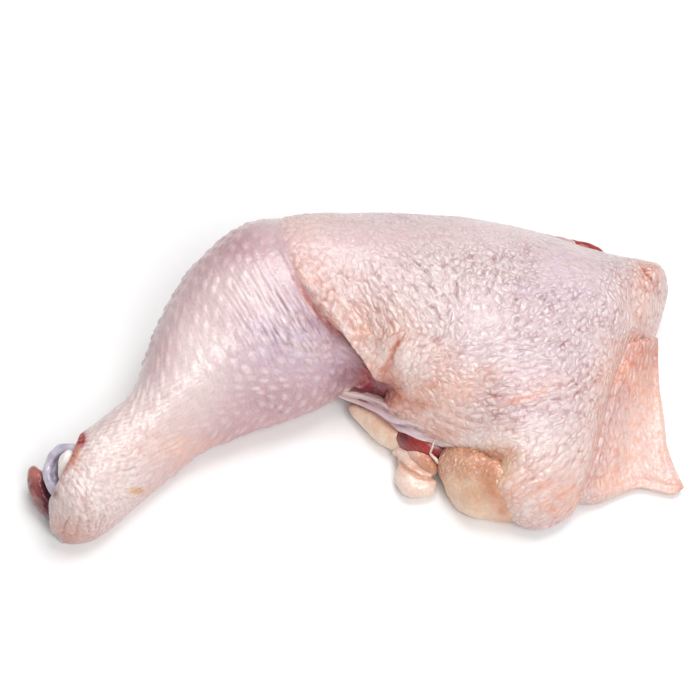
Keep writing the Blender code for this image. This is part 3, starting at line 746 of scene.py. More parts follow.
# Spots of colour, under the mask that each is added to
DRUMSTICK_SPOTS = {
    # The first two milk spots lie on the sheen band: a painted sheen
    "milk": ((200, 360, 12, 22, 0.8), (250, 295, 13, 9, 0.5), (120, 445, 16, 12, 0.5),
             (155, 408, 12, 10, 0.5), (92, 495, 11, 11, 0.9), (298, 312, 13, 20, 0.16)),
    # The peach at the toe is partly painted shade, as are the blush and amber there
    "peach": ((120, 445, 18, 12, 0.12), (66, 535, 7, 5, 0.55), (165, 440, 10, 8, 0.35),
              (190, 447, 14, 3.5, 0.6), (77, 453, 1.6, 4.0, 1.2), (182, 454, 17, 5, 0.35)),
    "lilac": ((298, 322, 14, 20, 0.65), (262, 350, 12, 13, 0.45), (335, 372, 9, 7, 0.6)),
    # Blush at the toe, along the lower edge and at the upper left is partly painted shade
    "blush": ((64, 535, 7, 4, 1.0), (165, 457, 14, 4, 0.7), (230, 432, 26, 5.5, 1.0),
              (290, 398, 18, 9, 0.9), (140, 430, 22, 16, 0.30), (240, 250, 15, 9, 0.9),
              (185, 290, 9, 15, 0.7), (152, 408, 16, 11, 0.30), (182, 452, 17, 6, 0.60),
              (300, 394, 20, 7, 0.50), (140, 470, 22, 8, 0.25)),
    "amber": ((62, 538, 7, 3, 0.3), (76, 453, 0.8, 3.6, 0.7), (64, 535, 11, 9, 0.30)),
    "fat": ((137, 491, 2.9, 1.1, 1.6),),
    # Dark spots by the knee's hollow, along the lower edge, upper left and hock gap: partly painted shade
    "dark_meat_and_shade": ((235, 436, 26, 4.5, 0.10), (300, 400, 14, 6, 0.10), (348, 377, 6, 6, 0.50),
               (361, 374, 4.0, 5.5, 0.8), (372, 384, 3.0, 4.5, 1.2), (238, 248, 14, 6, 0.20),
               (190, 280, 10, 12, 0.10), (160, 320, 5, 13, 0.12), (300, 402, 20, 5, 0.12),
               (54, 494, 0.9, 1.4, 0.9)),
    "blood": ((354, 376, 6, 5, 0.18), (368, 375, 2.4, 4.6, 0.9), (81, 438, 1.3, 2.5, 2.4)),
}
THIGH_SPOTS = {
    "fat": ((462, 452, 10, 3.0, 0.8), (498, 458, 6, 5, 0.95), (502, 474, 4.2, 6, 0.95),
            (504, 498, 3.4, 8, 0.8)),
    # Amber by the knee's hollow is partly painted shade in the crevice
    "amber": ((500, 452, 6, 1.4, 0.6), (393, 394, 2.6, 4.6, 0.85), (390, 388, 3.0, 2.6, 0.7),
              (440, 428, 9, 4, 0.40), (392, 384, 4.0, 6.0, 0.90), (398, 396, 6.0, 1.8, 0.55),
              (432, 383, 5, 3, 0.25), (420, 405, 6, 2, 0.3), (512, 496, 3, 3, 0.3)),
    "peach": ((512, 462, 4, 5, 0.5), (462, 392, 8, 5, 0.60), (484, 374, 8, 4, 0.40),
              (515, 399, 9, 2, 0.45), (545, 385, 10, 3, 0.25), (440, 430, 9, 5, 0.75),
              (395, 345, 8, 12, 0.6), (425, 398, 12, 7, 0.65), (440, 372, 8, 5, 0.45),
              (362, 328, 7, 9, 0.55), (385, 375, 8, 7, 0.7), (405, 385, 8, 5, 0.4),
              (430, 420, 14, 8, 0.7), (480, 434, 16, 6, 0.4), (545, 495, 13, 8, 0.85),
              (508, 490, 6, 9, 0.6), (570, 500, 9, 5, 0.6), (545, 465, 12, 7, 0.4),
              (645, 300, 8, 14, 0.55), (650, 272, 5, 4, 0.7), (640, 340, 5, 3, 0.7),
              (622, 375, 7, 12, 0.75), (606, 440, 6, 16, 0.6), (440, 350, 8, 5, 0.3)),
    # Dark spots in the knee's hollow: partly painted shade
    "dark_meat_and_shade": ((383, 389, 4.4, 3.3, 1.2), (372, 379, 2.4, 3.4, 1.0)),
    "blood": ((385, 390, 4.0, 3.0, 0.35),),
    "blush": ((350, 250, 20, 9, 0.45), (568, 275, 18, 11, 0.30), (550, 400, 22, 12, 0.22),
              (430, 232, 30, 6, 0.25), (345, 242, 18, 8, 0.25)),
    # Milk over the hem and by the knee lightens skin that faces away from the lamps: painted light
    "milk": ((455, 421, 12, 5, 0.55), (405, 362, 9, 9, 0.6), (484, 440, 16, 4.0, 1.0),
             (402, 360, 8, 8, 0.6), (430, 420, 8, 4, 0.4), (560, 455, 12, 7, 0.35)),
    "lilac": ((565, 290, 20, 16, 0.6), (530, 350, 24, 12, 0.25), (420, 410, 6, 3, 0.5)),
}
FLAP_SPOTS = {
    "milk": ((648, 440, 8, 14, 0.3),),
    "peach": ((675, 486, 5, 4, 0.7), (600, 460, 8, 12, 0.5), (640, 375, 11, 10, 1.0)),
    "amber": ((682, 488, 2.4, 2.5, 0.45), (640, 350, 8, 6, 0.50), (640, 375, 10, 8, 0.18),
              (622, 395, 3, 7, 0.20)),
    "blush": ((635, 378, 12, 11, 0.75),),
}

# Where the skin's form or relief is different
SHEEN = (Spot(198, 365, 14, 23), Spot(248, 297, 15, 10))
BELLY = Spot(285, 385, 24, 17)
TOE_CORNER = Spot(55, 546, 4.5, 4.5)
UPPER_LEFT = Spot(345, 240, 20, 9)
END_LUMP = Spot(638, 300, 12, 17)
BULGE = Spot(560, 485, 24, 14)
WARM_ZONE = Spot(425, 398, 18, 13)
LOW_ZONE = Spot(545, 378, 30, 14)
KNEE_HOLLOW = Spot(384, 389, 5.4, 3.6)
PAD_LAP = Spot(511, 489, 5.5, 5.5)
FLAP_BY_LUMP = Spot(638, 346, 13, 6)
WEB_SHADE = Spot(383, 384, 7, 4)
SMOOTH_SKIN = (Spot(345, 242, 24, 9, 0.85), Spot(470, 232, 36, 5, 0.8), Spot(572, 265, 13, 9, 0.85),
               Spot(560, 425, 12, 4, 0.3), Spot(478, 437, 14, 4, 0.35), Spot(400, 362, 8, 8, 0.3))
# Colours of the meat, with painted shade on its inner side and where it goes in, and of the scrap of fat
SHANK_PEACH = (Spot(34, 473, 4.0, 2.6, 0.75), Spot(34, 500, 2.2, 8, 0.4))
SHANK_SHADE = Spot(50, 485, 2.2, 7, 0.8)
MEAT_SHADE = (Spot(404, 438, 2.2, 3, 0.8), Spot(441, 447, 2.0, 3, 0.7))
SCRAP_AMBER = Spot(427, 464, 5.0, 3.4, 0.9)
SCRAP_FOLD_AMBER = Spot(433, 464, 3.4, 4.0, 0.95)
SCRAP_FOLD_PEACH = Spot(424, 458, 4.5, 3.4, 0.80)
# Lines that edges, creases and shadows follow
WEB_RIM = ((346, 396), (362, 390), (385, 391), (402, 394), (418, 400))
LOBE_EDGE = ((343, 399), (359, 401), (378, 411), (394, 427), (406, 434))
SCRAP_CREASE = ((396, 458), (405, 468), (419, 477), (431, 479), (444, 474))
PAD_CREASE = ((487, 468), (492, 480), (494, 492), (500, 506), (508, 520))
PAD_SHADOW = ((440, 446), (462, 450), (484, 453), (508, 454))
# Rows and columns between which something fades in or out
WEB_LOW_ROWS = (395, 400)
PAD_TOP_ROWS = (468, 486)
HOCK_TOP_ROWS = (462, 482)
SPECKS_START_COLUMNS, SPECKS_END_COLUMNS = (500, 512), (560, 575)


def seen_share(outward):
    """1 where the surface faces the camera, 0 where it faces away, and soft between them."""
    return ramp(-0.1, 0.15, -(outward @ LOOKING))


def photo_distance(shown, spot):
    """How far each point shows from a spot in the photograph, as a share of the spot's half-sizes."""
    return np.hypot((shown[..., 0] - spot.column) * PIXEL / spot.across,
                    (shown[..., 1] - spot.row) * PIXEL / spot.up)


def spot_share(shown, spot):
    """The spot's strength at its middle, falling off round it as a bell curve."""
    return spot.strength * np.exp(-photo_distance(shown, spot) ** 2)


def add_spots(masks, spots, shown, seen):
    """Adds each spot to its mask, on the side that the photograph shows."""
    for mask, places in spots.items():
        for place in places:
            masks[mask] = 1 - (1 - masks[mask]) * (1 - spot_share(shown, Spot(*place)) * seen)


# A line drawn in a mask along pixel places, with its half-width
Line = namedtuple("Line", "mask places width strength")
THIGH_LINES = (
    # This amber line by the knee's hollow is partly painted shadow under the fold
    Line("amber", ((374, 378), (382, 389), (392, 396), (404, 399), (424, 402)), 1.0, 0.75),
    Line("peach", ((403, 340), (393, 354), (384, 370)), 3.0, 0.55),
    # A painted shadow under the hem's lower edge
    Line("amber", ((440, 447), (462, 450), (484, 453), (506, 455)), 0.8, 0.7),
    Line("amber", ((500, 458), (496, 474), (497, 488), (503, 502)), 1.1, 0.55),
    Line("peach", ((500, 405), (520, 400), (546, 394)), 1.1, 0.6),
    Line("peach", ((580, 500), (595, 470), (605, 440), (615, 400), (628, 362)), 7.5, 0.45),
    Line("milk", ((514, 456), (507, 472), (502, 484)), 1.0, 0.8),
    Line("milk", ((544, 492), (534, 504), (526, 515)), 1.1, 0.8),
)
DRUMSTICK_LINES = (
    Line("amber", ((342, 397), (352, 389), (362, 383), (371, 377)), 0.8, 0.9),
    Line("peach", ((342, 397), (352, 389), (362, 383), (371, 377)), 1.6, 0.6),
    Line("blush", ((268, 398), (276, 404), (285, 414)), 0.9, 0.8),
)


def add_lines(masks, lines, shown, seen):
    """Adds each line to its mask: a bell curve of the distance from it, on the side that the photograph
    shows."""
    for line in lines:
        share = line.strength * bell(line_distance(shown, line.places)[0], 0, line.width) * seen
        masks[line.mask] = 1 - (1 - masks[line.mask]) * (1 - share)


def from_line(place, points):
    """How far flat places are from a line through points, below 0 on its left, and the share of the way
    along the line."""
    best = np.full(place.shape[:-1], 1e9)
    share, side = np.zeros_like(best), np.ones_like(best)
    points = np.array(points, float)
    lengths = np.linalg.norm(np.diff(points, axis=0), axis=1)
    along = np.concatenate([[0], np.cumsum(lengths)]) / lengths.sum()
    for k in range(len(points) - 1):
        way = points[k + 1] - points[k]
        off = place - points[k]
        t = np.clip((off @ way) / (way @ way), 0, 1)
        distance = np.linalg.norm(off - t[..., None] * way, axis=-1)
        closer = distance < best
        share = np.where(closer, along[k] + t * (along[k + 1] - along[k]), share)
        side = np.where(closer, np.sign(off[..., 0] * way[1] - off[..., 1] * way[0]), side)
        best = np.where(closer, distance, best)
    return best * side, share


def line_distance(shown, points):
    """Distance in the photograph, in mm, from each point to a line through pixel places, and the share of
    the way along it."""
    distance, share = from_line(shown, points)
    return np.abs(distance) * PIXEL, share


# The way that the skin's wrinkles run at a place in the photograph, in degrees up from its right
Way = namedtuple("Way", "column row turn")
THIGH_WAYS = tuple(Way(*way) for way in (
    (300, 250, -72), (330, 310, -52), (350, 250, 80), (400, 262, -50), (415, 278, -50), (408, 305, -50),
    (432, 292, -60), (455, 290, -88), (472, 285, 82), (487, 290, 72), (512, 290, 66), (535, 300, 60),
    (575, 318, 58), (592, 350, 46), (600, 372, 42), (560, 355, 34), (530, 360, 22), (545, 385, 20),
    (500, 366, 10), (560, 405, 20), (590, 392, 36), (480, 395, 2), (450, 385, -12), (410, 350, 48),
    (392, 375, 56), (420, 410, -26), (455, 428, -14), (500, 440, -3), (512, 462, 62), (545, 470, 46),
    (565, 490, 30), (585, 470, 48), (535, 505, 58), (605, 440, 55), (612, 395, 72), (632, 290, 80),
    (570, 248, -18)))
DRUMSTICK_WAYS = tuple(Way(*way) for way in (
    (285, 250, -70), (305, 300, -57), (335, 350, -48), (270, 330, -60), (250, 370, -66), (200, 300, -60),
    (180, 410, 30), (130, 440, 18), (120, 465, 8), (98, 500, -50), (76, 528, -84), (60, 520, -70)))
WAY_REACH = 26  # how near a way has to be to count, in pixels


def way_turn(ways, shown):
    """The turn of the wrinkles at each point: the listed ways averaged by their nearness, with each turn
    doubled so that a way and its opposite are the same."""
    total = 0
    for way in ways:
        apart = np.hypot(shown[..., 0] - way.column, shown[..., 1] - way.row) / WAY_REACH
        total = total + np.exp(2j * np.radians(way.turn)) / (1 + apart ** 4)
    return np.angle(total) / 2


def way_along(turn, outward):
    """The unit way along the wrinkles at each point, laid in the surface."""
    along = np.cos(turn)[..., None] * np.array((1, 0, 0)) + np.sin(turn)[..., None] * PICTURE_UP
    along = along - outward * (along * outward).sum(-1, keepdims=True)
    return along / (np.linalg.norm(along, axis=-1, keepdims=True) + 1e-9)


def way_masks(turn):
    """How much each of WRINKLE_TURNS counts where the wrinkles have that turn: the nearest two, by their
    nearness, with soft steps between them."""
    step = 180 / len(WRINKLE_TURNS)
    masks = {}
    for listed in WRINKLE_TURNS:
        apart = np.abs((np.degrees(turn) - listed + 90) % 180 - 90)
        masks[f"way_{listed}"] = ramp(0.42, 0.58, 1 - apart / step)
    return masks


# Creases in the thigh's skin that stand out in the photograph: pixel places, width and depth in mm
Crease = namedtuple("Crease", "places width depth")
THIGH_CREASES = tuple(Crease(*crease) for crease in (
    (((403, 250), (418, 266), (434, 286), (449, 303)), 0.8, 0.36),
    (((398, 272), (414, 290), (430, 308), (446, 326)), 0.8, 0.34),
    (((452, 262), (457, 285), (456, 305)), 0.9, 0.35),
    (((466, 262), (469, 280), (472, 296)), 1.0, 0.40),
    (((498, 262), (491, 285), (484, 305)), 0.9, 0.40),
    (((530, 275), (521, 295), (510, 315)), 0.9, 0.30),
    (((404, 337), (393, 354), (383, 371)), 3.0, 0.80),
    (((420, 360), (410, 374), (404, 388)), 1.3, 0.35),
    (((500, 352), (540, 350), (575, 343), (600, 332)), 1.1, 0.36),
    (((480, 372), (520, 372), (560, 364), (604, 350)), 1.1, 0.20),
    (((470, 392), (515, 394), (560, 386), (608, 370)), 1.1, 0.16),
    (((500, 406), (530, 408), (572, 396), (604, 378)), 1.1, 0.40),
    (((400, 402), (430, 414), (462, 424)), 1.2, 0.30),
    (((420, 421), (444, 432), (466, 440), (490, 445), (514, 446)), 6.0, -1.7),
    (((500, 456), (496, 474), (497, 490), (504, 506)), 2.0, 0.90),
    (((520, 470), (536, 462), (556, 452)), 1.2, 0.35),
    (((516, 492), (530, 482), (548, 474)), 1.3, 0.45),
    (((548, 505), (562, 492), (580, 484)), 1.2, 0.35),
    (((640, 262), (652, 280), (655, 300)), 1.8, 0.50),
))
DRUMSTICK_CREASES = tuple(Crease(*crease) for crease in (
    (((104, 462), (122, 455), (142, 446)), 1.1, 0.35),
    (((108, 474), (128, 468), (148, 456)), 1.1, 0.35),
    (((118, 482), (134, 477), (150, 466)), 1.0, 0.25),
    (((262, 399), (274, 405), (286, 416)), 0.9, 0.35),
    (((150, 398), (166, 392), (180, 382)), 1.2, 0.30),
    (((68, 515), (64, 530), (62, 542)), 1.1, 0.35),
    (((78, 518), (76, 530), (76, 541)), 1.1, 0.30),
    (((90, 516), (89, 527), (90, 536)), 1.1, 0.25),
    (((338, 399), (352, 389), (362, 383), (374, 375)), 1.5, -0.80),
))


def wandering(shown, reach):
    """Places in the photograph moved about by up to that many pixels, so that a line drawn there wanders."""
    return shown + reach * np.stack([waves(shown, 16, 145), waves(shown, 16, 146)], -1)


def creased(creases, shown, point):
    """How deep the creases lie at each point, in mm: a groove with low lips along each wandering line, that
    fades at the ends."""
    depth = np.zeros(shown.shape[:-1])
    moved = wandering(shown, 3.5)
    for crease in creases:
        distance, share = line_distance(moved, crease.places)
        fade = np.sin(np.pi * np.clip(share, 0.02, 0.98)) ** 0.6 * (0.8 + 0.3 * waves(point, 7, 147))
        lips = 0.4 * (crease.depth > 0) * bell(distance, crease.width * 1.3, crease.width * 0.7)
        depth += crease.depth * (bell(distance, 0, crease.width * 0.5) - lips) * fade
    return depth


def empty_masks(shape):
    return {name: np.zeros(shape) for name in (*SKIN_TINTS, *RELIEF_MASKS)}


def follicles(chart, pitch, radius, seed, longer):
    """Raised follicles: a dome round each seed of a scattered lattice laid diagonally on the skin, longer
    round the section than along it, from 0 between them to 1 at their tops."""
    squeezed = chart / np.array((1, longer))
    diagonal = np.stack([squeezed[..., 0] * 0.82 + squeezed[..., 1] * 0.57,
                         squeezed[..., 1] * 0.82 - squeezed[..., 0] * 0.57], -1)
    first, _, number = cells(diagonal, pitch, seed, scatter=0.5)
    return np.clip(1 - (first * pitch / radius) ** 2, 0, 1) ** 1.5 * (0.5 + 0.5 * number)


def pebbles(point, size, seed, along=None, longer=1.0, groove=0.3):
    """A crackled skin: flat-topped cells with a groove between neighbours, where the nearest two seeds are
    equally far. From -1 in the groove to 1 on top."""
    first, second, _ = cells(point, size, seed, 0.8, along, longer)
    return 1 - 2 * np.exp(-((second - first) / groove) ** 2)


# ---------------------------------------------------------------------------------------------------------
# The drumstick

DRUMSTICK_GRID = (290, 310)
HIDDEN_END = 9.0  # how far the drumstick runs in under the thigh's skin
TOE_CORNER_WAY = np.array((0.62, 0.78, 0.0))  # the way that the toe's far corner is drawn in


def cut_at_hock(point):
    """Pushes what lies in the ball at the hock back onto its torn surface. Also gives how far each point was
    from the ball's middle."""
    centre = HOCK_CUT_POINT + HOCK_CUT_DIRECTION / np.linalg.norm(HOCK_CUT_DIRECTION) * HOCK_CUT_BALL
    way = point - centre
    distance = np.linalg.norm(way, axis=-1)
    depth = HOCK_CUT_BALL - distance
    torn = 0.5 * waves(point, 3.0, 91) + 0.3 * waves(point, 1.4, 92)
    pushed = (HOCK_CUT_BALL + 1.4 * ramp(0, 2.5, depth) + torn * ramp(0, 1.5, depth)) / distance
    return np.where(depth[..., None] > 0, centre + way * pushed[..., None], point), distance


def drumstick_surface():
    """The drumstick: the leg's bare form with follicles, fine folds beside the knee and low waves laid on it
    along its normals, then hollowed by the ball at the hock."""
    rows, columns = DRUMSTICK_GRID
    angle = ring_angles(MID_DRUMSTICK, columns)[None, :]
    place = (fold_place(angle) + HIDDEN_END) * np.linspace(0, 1, rows)[:, None]
    bare = leg_point(place, angle)
    past = place - fold_place(angle)
    degrees = np.degrees(angle)
    dent = 0.1 + 0.35 * by_the_hollow(angle)
    over_top = over_the_top(degrees)
    raised = -(0.35 - 0.20 * over_top) * np.maximum(past - 1, 0) - dent * bell(past, -1, 3)
    outward = normals_of(bare)
    shown, seen = photo_place(bare), seen_share(outward)

    # Where each kind of relief shows
    by_knee = bell(past, -12, 13) * bell(degrees, 60, 27)
    plump = ramp(18, 55, place) * (1 - ramp(-7, -2, past))
    toe = 1 - ramp(8, 30, place)
    shank = (1 - ramp(28, 60, place)) * ramp(4, 14, place)
    upper_left = ramp(75, 120, degrees) * (1 - ramp(200, 230, degrees))
    sheen = np.maximum(*[spot_share(shown, spot) for spot in SHEEN])
    belly = spot_share(shown, BELLY) * seen

    # Follicles, then the folds and wrinkles that run along the skin's own way, then low waves and creases
    chart = skin_chart(bare, angle)
    domes = follicles(chart, 4.3, 1.9, 11, 1.25)
    small = follicles(chart, 2.9, 1.3, 31, 1.0)
    uneven = 0.75 + 0.5 * waves(bare, 14, 3)
    bumps = (0.72 + 0.22 * upper_left) * domes * plump * uneven * (1 - 0.35 * by_knee) * (1 - 0.5 * sheen)
    bumps += 0.14 * small * ramp(6, 20, place) * (1 - 0.8 * plump)
    turn = way_turn(DRUMSTICK_WAYS, shown)
    along = way_along(turn, outward)
    across = np.cross(outward, along)
    streaks = ripples(bare, across, 1.5, 5.5, 51)
    broad = ripples(bare, across, 3.4, 7.0, 52)
    crackle = pebbles(bare, 1.9, 54, along, 1.7, 0.4)
    cracked = pebbles(bare, 2.3, 53, along, 1.5, 0.5)
    skin_lines = (0.15 * streaks + 0.16 * broad) * by_knee + (0.03 * streaks + 0.06 * crackle) * shank
    skin_lines += 0.03 * streaks
    wrinkled = toe * (0.11 * cracked + 0.07 * ripples(bare, across, 2.2, 2.6, 55))
    low = 0.55 * waves(bare, 19, 71) + 0.22 * waves(bare, 8, 72)
    crease_depth = creased(DRUMSTICK_CREASES, shown, bare) * seen
    lift = raised + (bumps + skin_lines + wrinkled + low - crease_depth) * (1 - ramp(-1, 1.5, past))
    point = bare + outward * lift[..., None]
    point = point + 1.7 * spot_share(shown, TOE_CORNER)[..., None] * TOE_CORNER_WAY
    point, distance = cut_at_hock(point)
    inside = distance < HOCK_CUT_BALL
    point[..., 2] = np.maximum(point[..., 2], 0)

    masks = {**empty_masks(place.shape), **way_masks(turn + 0 * place)}
    masks["network"] = np.clip(0.10 + 0.12 * belly + 0.16 * shank + 0.22 * toe, 0, 0.5) * (1 - 0.9 * inside)
    masks["streaks"] = by_knee * seen * (0.8 + 0.4 * waves(bare, 9, 103))
    masks["blush"] = (0.98 - 0.60 * (1 - ramp(20, 60, place))) * (0.85 + 0.25 * waves(bare, 12, 101))
    masks["milk"] = 0.55 * (1 - ramp(24, 66, place)) + 0.1 * waves(bare, 10, 102)
    masks["lilac"] = 0.35 * by_knee
    # Darker under the thigh's edge by the knee's hollow and beside the fold: dark meat and painted shade
    hidden = by_the_hollow(angle) * ramp(-1.5, 1.5, past)
    masks["dark_meat_and_shade"] = np.maximum(0.95 * by_the_hollow(angle) ** 2 * bell(past, 1, 4), hidden)
    masks["blood"] = 0.35 * hidden
    beside = bell(past, -2, 6) * (1 - ramp(50, 95, degrees))
    masks["dark_meat_and_shade"] = np.maximum(masks["dark_meat_and_shade"], 0.30 * beside)
    masks["blush"] *= 1 - 0.55 * bell(past, 0, 5) * over_top
    # Painted shade along the lower edge by the table: more blush, amber and dark meat tint
    shade_by_table = (1 - ramp(3, 22, bare[..., 2])) * seen
    masks["blush"] += 0.80 * shade_by_table
    masks["amber"] += 0.16 * shade_by_table
    masks["dark_meat_and_shade"] += 0.10 * shade_by_table
    # Painted shadow: a thin amber line along the thigh's skin edge, except over the top
    masks["amber"] = np.maximum(masks["amber"], 0.8 * bell(past, 0.4, 1.1) * (1 - over_top))
    upper = 1 - ramp(*HOCK_TOP_ROWS, shown[..., 1])
    rim = bell(distance, HOCK_CUT_BALL + 0.5, 0.6 + 0.9 * upper) * (0.25 + 0.65 * upper)
    masks["amber"] = np.maximum(masks["amber"], rim)
    add_spots(masks, DRUMSTICK_SPOTS, shown, seen)
    add_lines(masks, DRUMSTICK_LINES, shown, seen)
    masks["dark_meat_and_shade"] = np.maximum(masks["dark_meat_and_shade"], 0.8 * inside * ramp(1.5, 3.5, HOCK_CUT_BALL - distance))
    for name in ("blush", "milk", "lilac"):
        masks[name] = np.clip(masks[name], 0, 1) * (1 - 0.8 * inside)
    patchy = np.clip(0.75 + 0.7 * waves(bare, 11, 4), 0.25, 1.2)
    # Follicles and folds paler, creases darker: partly their own colour, partly painted highlight and shade
    masks["relief"] = np.clip(
        0.40 + (0.42 + 0.34 * belly) * domes * plump * patchy * (1 - 0.30 * upper_left) * (1 - 0.6 * sheen)
        + (0.14 * streaks + 0.14 * broad) * by_knee
        + (0.04 * streaks + 0.08 * crackle) * shank + 0.16 * small * (1 - plump)
        + 0.10 * toe * cracked + 0.02 * streaks - 0.6 * np.maximum(crease_depth, 0), 0, 1)
    return point, masks


# ---------------------------------------------------------------------------------------------------------
# The thigh

THIGH_GRID = (276, 344)
CLOSING_ROWS = 12
PAD_LAP_WAY = np.array((-0.9, -0.3, 0.3))  # the way that the skin laps over the fat pad


def thigh_surface():
    """The thigh: the leg's bare form, rolled up where its skin ends on the drumstick, with pebbles along the
    fold, crackled wrinkles over the top, named creases and low waves laid on it along its normals."""
    rows, columns = THIGH_GRID
    angle = ring_angles(MID_THIGH, columns)[None, :]
    share = (np.linspace(0, 1, rows) ** 1.12)[:, None]
    place = fold_place(angle) + (PLACES[-1] - fold_place(angle)) * share
    bare = leg_point(place, angle)
    past = place - fold_place(angle)
    degrees = np.degrees(angle)
    step = FOLD_STEP[0] + FOLD_STEP[1] * by_the_hollow(angle)
    out = 1 - np.exp(-(np.maximum(past, 0) / 1.7) ** 2)
    rolled = 0.35 + 0.65 * np.exp(-(past / FOLD_ROLL) ** 2)
    fading = 1 - 0.8 * np.clip((past - 20) / 40, 0, 1)
    over_top = over_the_top(degrees)
    gentle = 1 - np.exp(-(np.maximum(past, 0) / 5.5) ** 2)
    sunk = 3.5 * (1 - out) * (1 - over_top) + 1.6 * (1 - gentle) * over_top
    raised = -sunk + step * out * rolled * fading
    outward = normals_of(bare)
    shown, seen = photo_place(bare), seen_share(outward)

    # Where each kind of relief shows
    near_fold = np.exp(-(past / 22) ** 2)
    upper_left, end_lump, bulge, warm_zone, low_zone, hollow, lap = [
        seen * spot_share(shown, spot)
        for spot in (UPPER_LEFT, END_LUMP, BULGE, WARM_ZONE, LOW_ZONE, KNEE_HOLLOW, PAD_LAP)]
    uneven = np.clip(0.90 + 0.5 * waves(bare, 9, 121), 0.5, 1.3)
    calm = 1 - np.clip(sum(seen * spot.strength * np.exp(-photo_distance(shown, spot) ** 4)
                           for spot in SMOOTH_SKIN), 0, 0.92)
    pebble_share = np.clip(1.15 * near_fold + 0.8 * end_lump, 0, 1) * uneven * (1 - 0.8 * upper_left)
    wrinkle_share = (1 - 0.8 * near_fold) * (1 - 0.5 * end_lump) * calm * uneven

    # Pebbles, then the wrinkles that run along the skin's own way, then low waves, creases and the hollow
    turn = way_turn(THIGH_WAYS, shown)
    along = way_along(turn, outward)
    across = np.cross(outward, along)
    bent = bare + 0.5 * np.stack([waves(bare, 3.2, 180 + k) for k in range(3)], -1)
    pebbly = pebbles(bent, 2.7, 115, along, 1.0, 0.6)
    domes = np.tanh(2.4 * (0.5 - cells(bent, 2.7, 115)[0]))
    coarse = ripples(bent, across, 3.7, 5.4, 110)
    crackle = pebbles(bent, 3.0, 112, along, 1.7, 0.40)
    fine = ripples(bare, across, 1.9, 2.7, 113)
    long_fine = ripples(bare, across, 2.0, 7.0, 114)
    weave = ((0.5 * coarse + 0.26 * crackle) * (1 - 0.5 * low_zone) + 0.28 * fine * (1 - 0.6 * low_zone)
             + 0.55 * low_zone * long_fine)
    relief = ((0.30 * domes + 0.12 * pebbly) * pebble_share + 0.22 * pebbles(bare, 1.9, 117) * warm_zone
              + 0.28 * weave * wrinkle_share)
    low = 0.5 * waves(bare, 21, 141) + 0.15 * waves(bare, 9, 142)
    crease_depth = creased(THIGH_CREASES, shown, bare) * seen
    lift = raised + (relief + low - crease_depth) * ramp(-0.3, 1.2, past) - 3.4 * hollow
    point = bare + outward * lift[..., None] + 4.0 * lap[..., None] * PAD_LAP_WAY
    point[..., 2] = np.maximum(point[..., 2], 0)

    masks = {**empty_masks(place.shape), **way_masks(turn + 0 * place)}
    masks["network"] = ((1 - hollow) * (0.3 + 0.7 * calm) * (1 - 0.45 * near_fold) * (1 - 0.55 * bulge)
                        * (1 - 0.5 * warm_zone) * np.clip(0.90 + 0.20 * waves(bare, 8, 155), 0, 1))
    masks["blush"] = (0.25 + 0.15 * waves(bare, 15, 151)) * (1 - 0.8 * upper_left)
    masks["blush"] += 0.5 * bell(past, 0, 5) * over_top
    masks["peach"] = (0.60 * np.exp(-(past / 19) ** 2) * (0.75 + 0.45 * waves(bare, 6, 152))
                      * (1 - 0.6 * upper_left))
    masks["lilac"] = 0.06 + 0.1 * waves(bare, 13, 153)
    masks["milk"] = (0.16 + 0.12 * waves(bare, 17, 154)) * (1 - hollow)
    add_spots(masks, THIGH_SPOTS, shown, seen)
    add_lines(masks, THIGH_LINES, wandering(shown, 4.5), seen)
    # Painted shadow: an amber line along the rolled edge, and painted shade under it by the knee's hollow
    knee = 1 - ramp(48, 88, degrees) * (1 - ramp(200, 300, degrees))
    masks["amber"] = np.maximum(masks["amber"], 0.8 * bell(past, 0.2, 1.2) * knee)
    masks["peach"] = np.maximum(masks["peach"], 0.75 * bell(past, 1.5, 3.5) * knee)
    masks["dark_meat_and_shade"] = np.maximum(masks["dark_meat_and_shade"], by_the_hollow(angle) ** 2 * (1 - ramp(-0.8, 0.9, past)))
    # Painted shade along the lower edge by the table: more blush and peach
    shade_by_table = (1 - ramp(2, 12, bare[..., 2])) * seen
    masks["blush"] += 0.35 * shade_by_table
    masks["peach"] += 0.25 * shade_by_table
    specks = ramp(0.25, 0.6, waves(bare, 2.6, 156)) * bell(bare[..., 2], 0.5, 1.6)
    specks *= ramp(*SPECKS_START_COLUMNS, shown[..., 0]) * (1 - ramp(*SPECKS_END_COLUMNS, shown[..., 0]))
    masks["dark_meat_and_shade"] = np.maximum(masks["dark_meat_and_shade"], 0.8 * specks)
    for name in SKIN_TINTS:
        masks[name] = np.clip(masks[name], 0, 1)
    # Pebbles and wrinkles paler, creases darker: partly their own colour, partly painted highlight and shade
    grooves = np.clip(np.maximum(crease_depth, 0) / 0.6, 0, 1)
    masks["relief"] = np.clip(
        0.5 + (0.26 * domes + 0.10 * pebbly) * pebble_share + 0.26 * weave * wrinkle_share
        - 0.45 * grooves, 0, 1)
    ends = closing_rings(point[-1], point[-2], 2.0, CLOSING_ROWS)
    ends[..., 2] = np.maximum(ends[..., 2], 0)
    point = np.concatenate([point, ends])
    closed = np.linspace(0, 1, len(ends))[:, None] ** 0.5
    for name, values in masks.items():
        even = values[-1:] * (1 - closed) + values[-1].mean() * closed
        if name == "relief":
            even = even + 0.25 * pebbles(ends, 2.7, 116, groove=0.5) * closed
        masks[name] = np.concatenate([values, even])
    return point, masks


# ---------------------------------------------------------------------------------------------------------
# Loose skin: the flap at the hip end, the hem and web by the knee's hollow, and the cut edge at the back

FLAP_GRID = (118, 146)
FLAP_THICKNESS = 2.2
FLAP_SIZE = (38, 48)  # across and down between its rims
FLAP_SKIN_LENGTH = 50  # down along its curved skin
HEM_GRID = (190, 84)


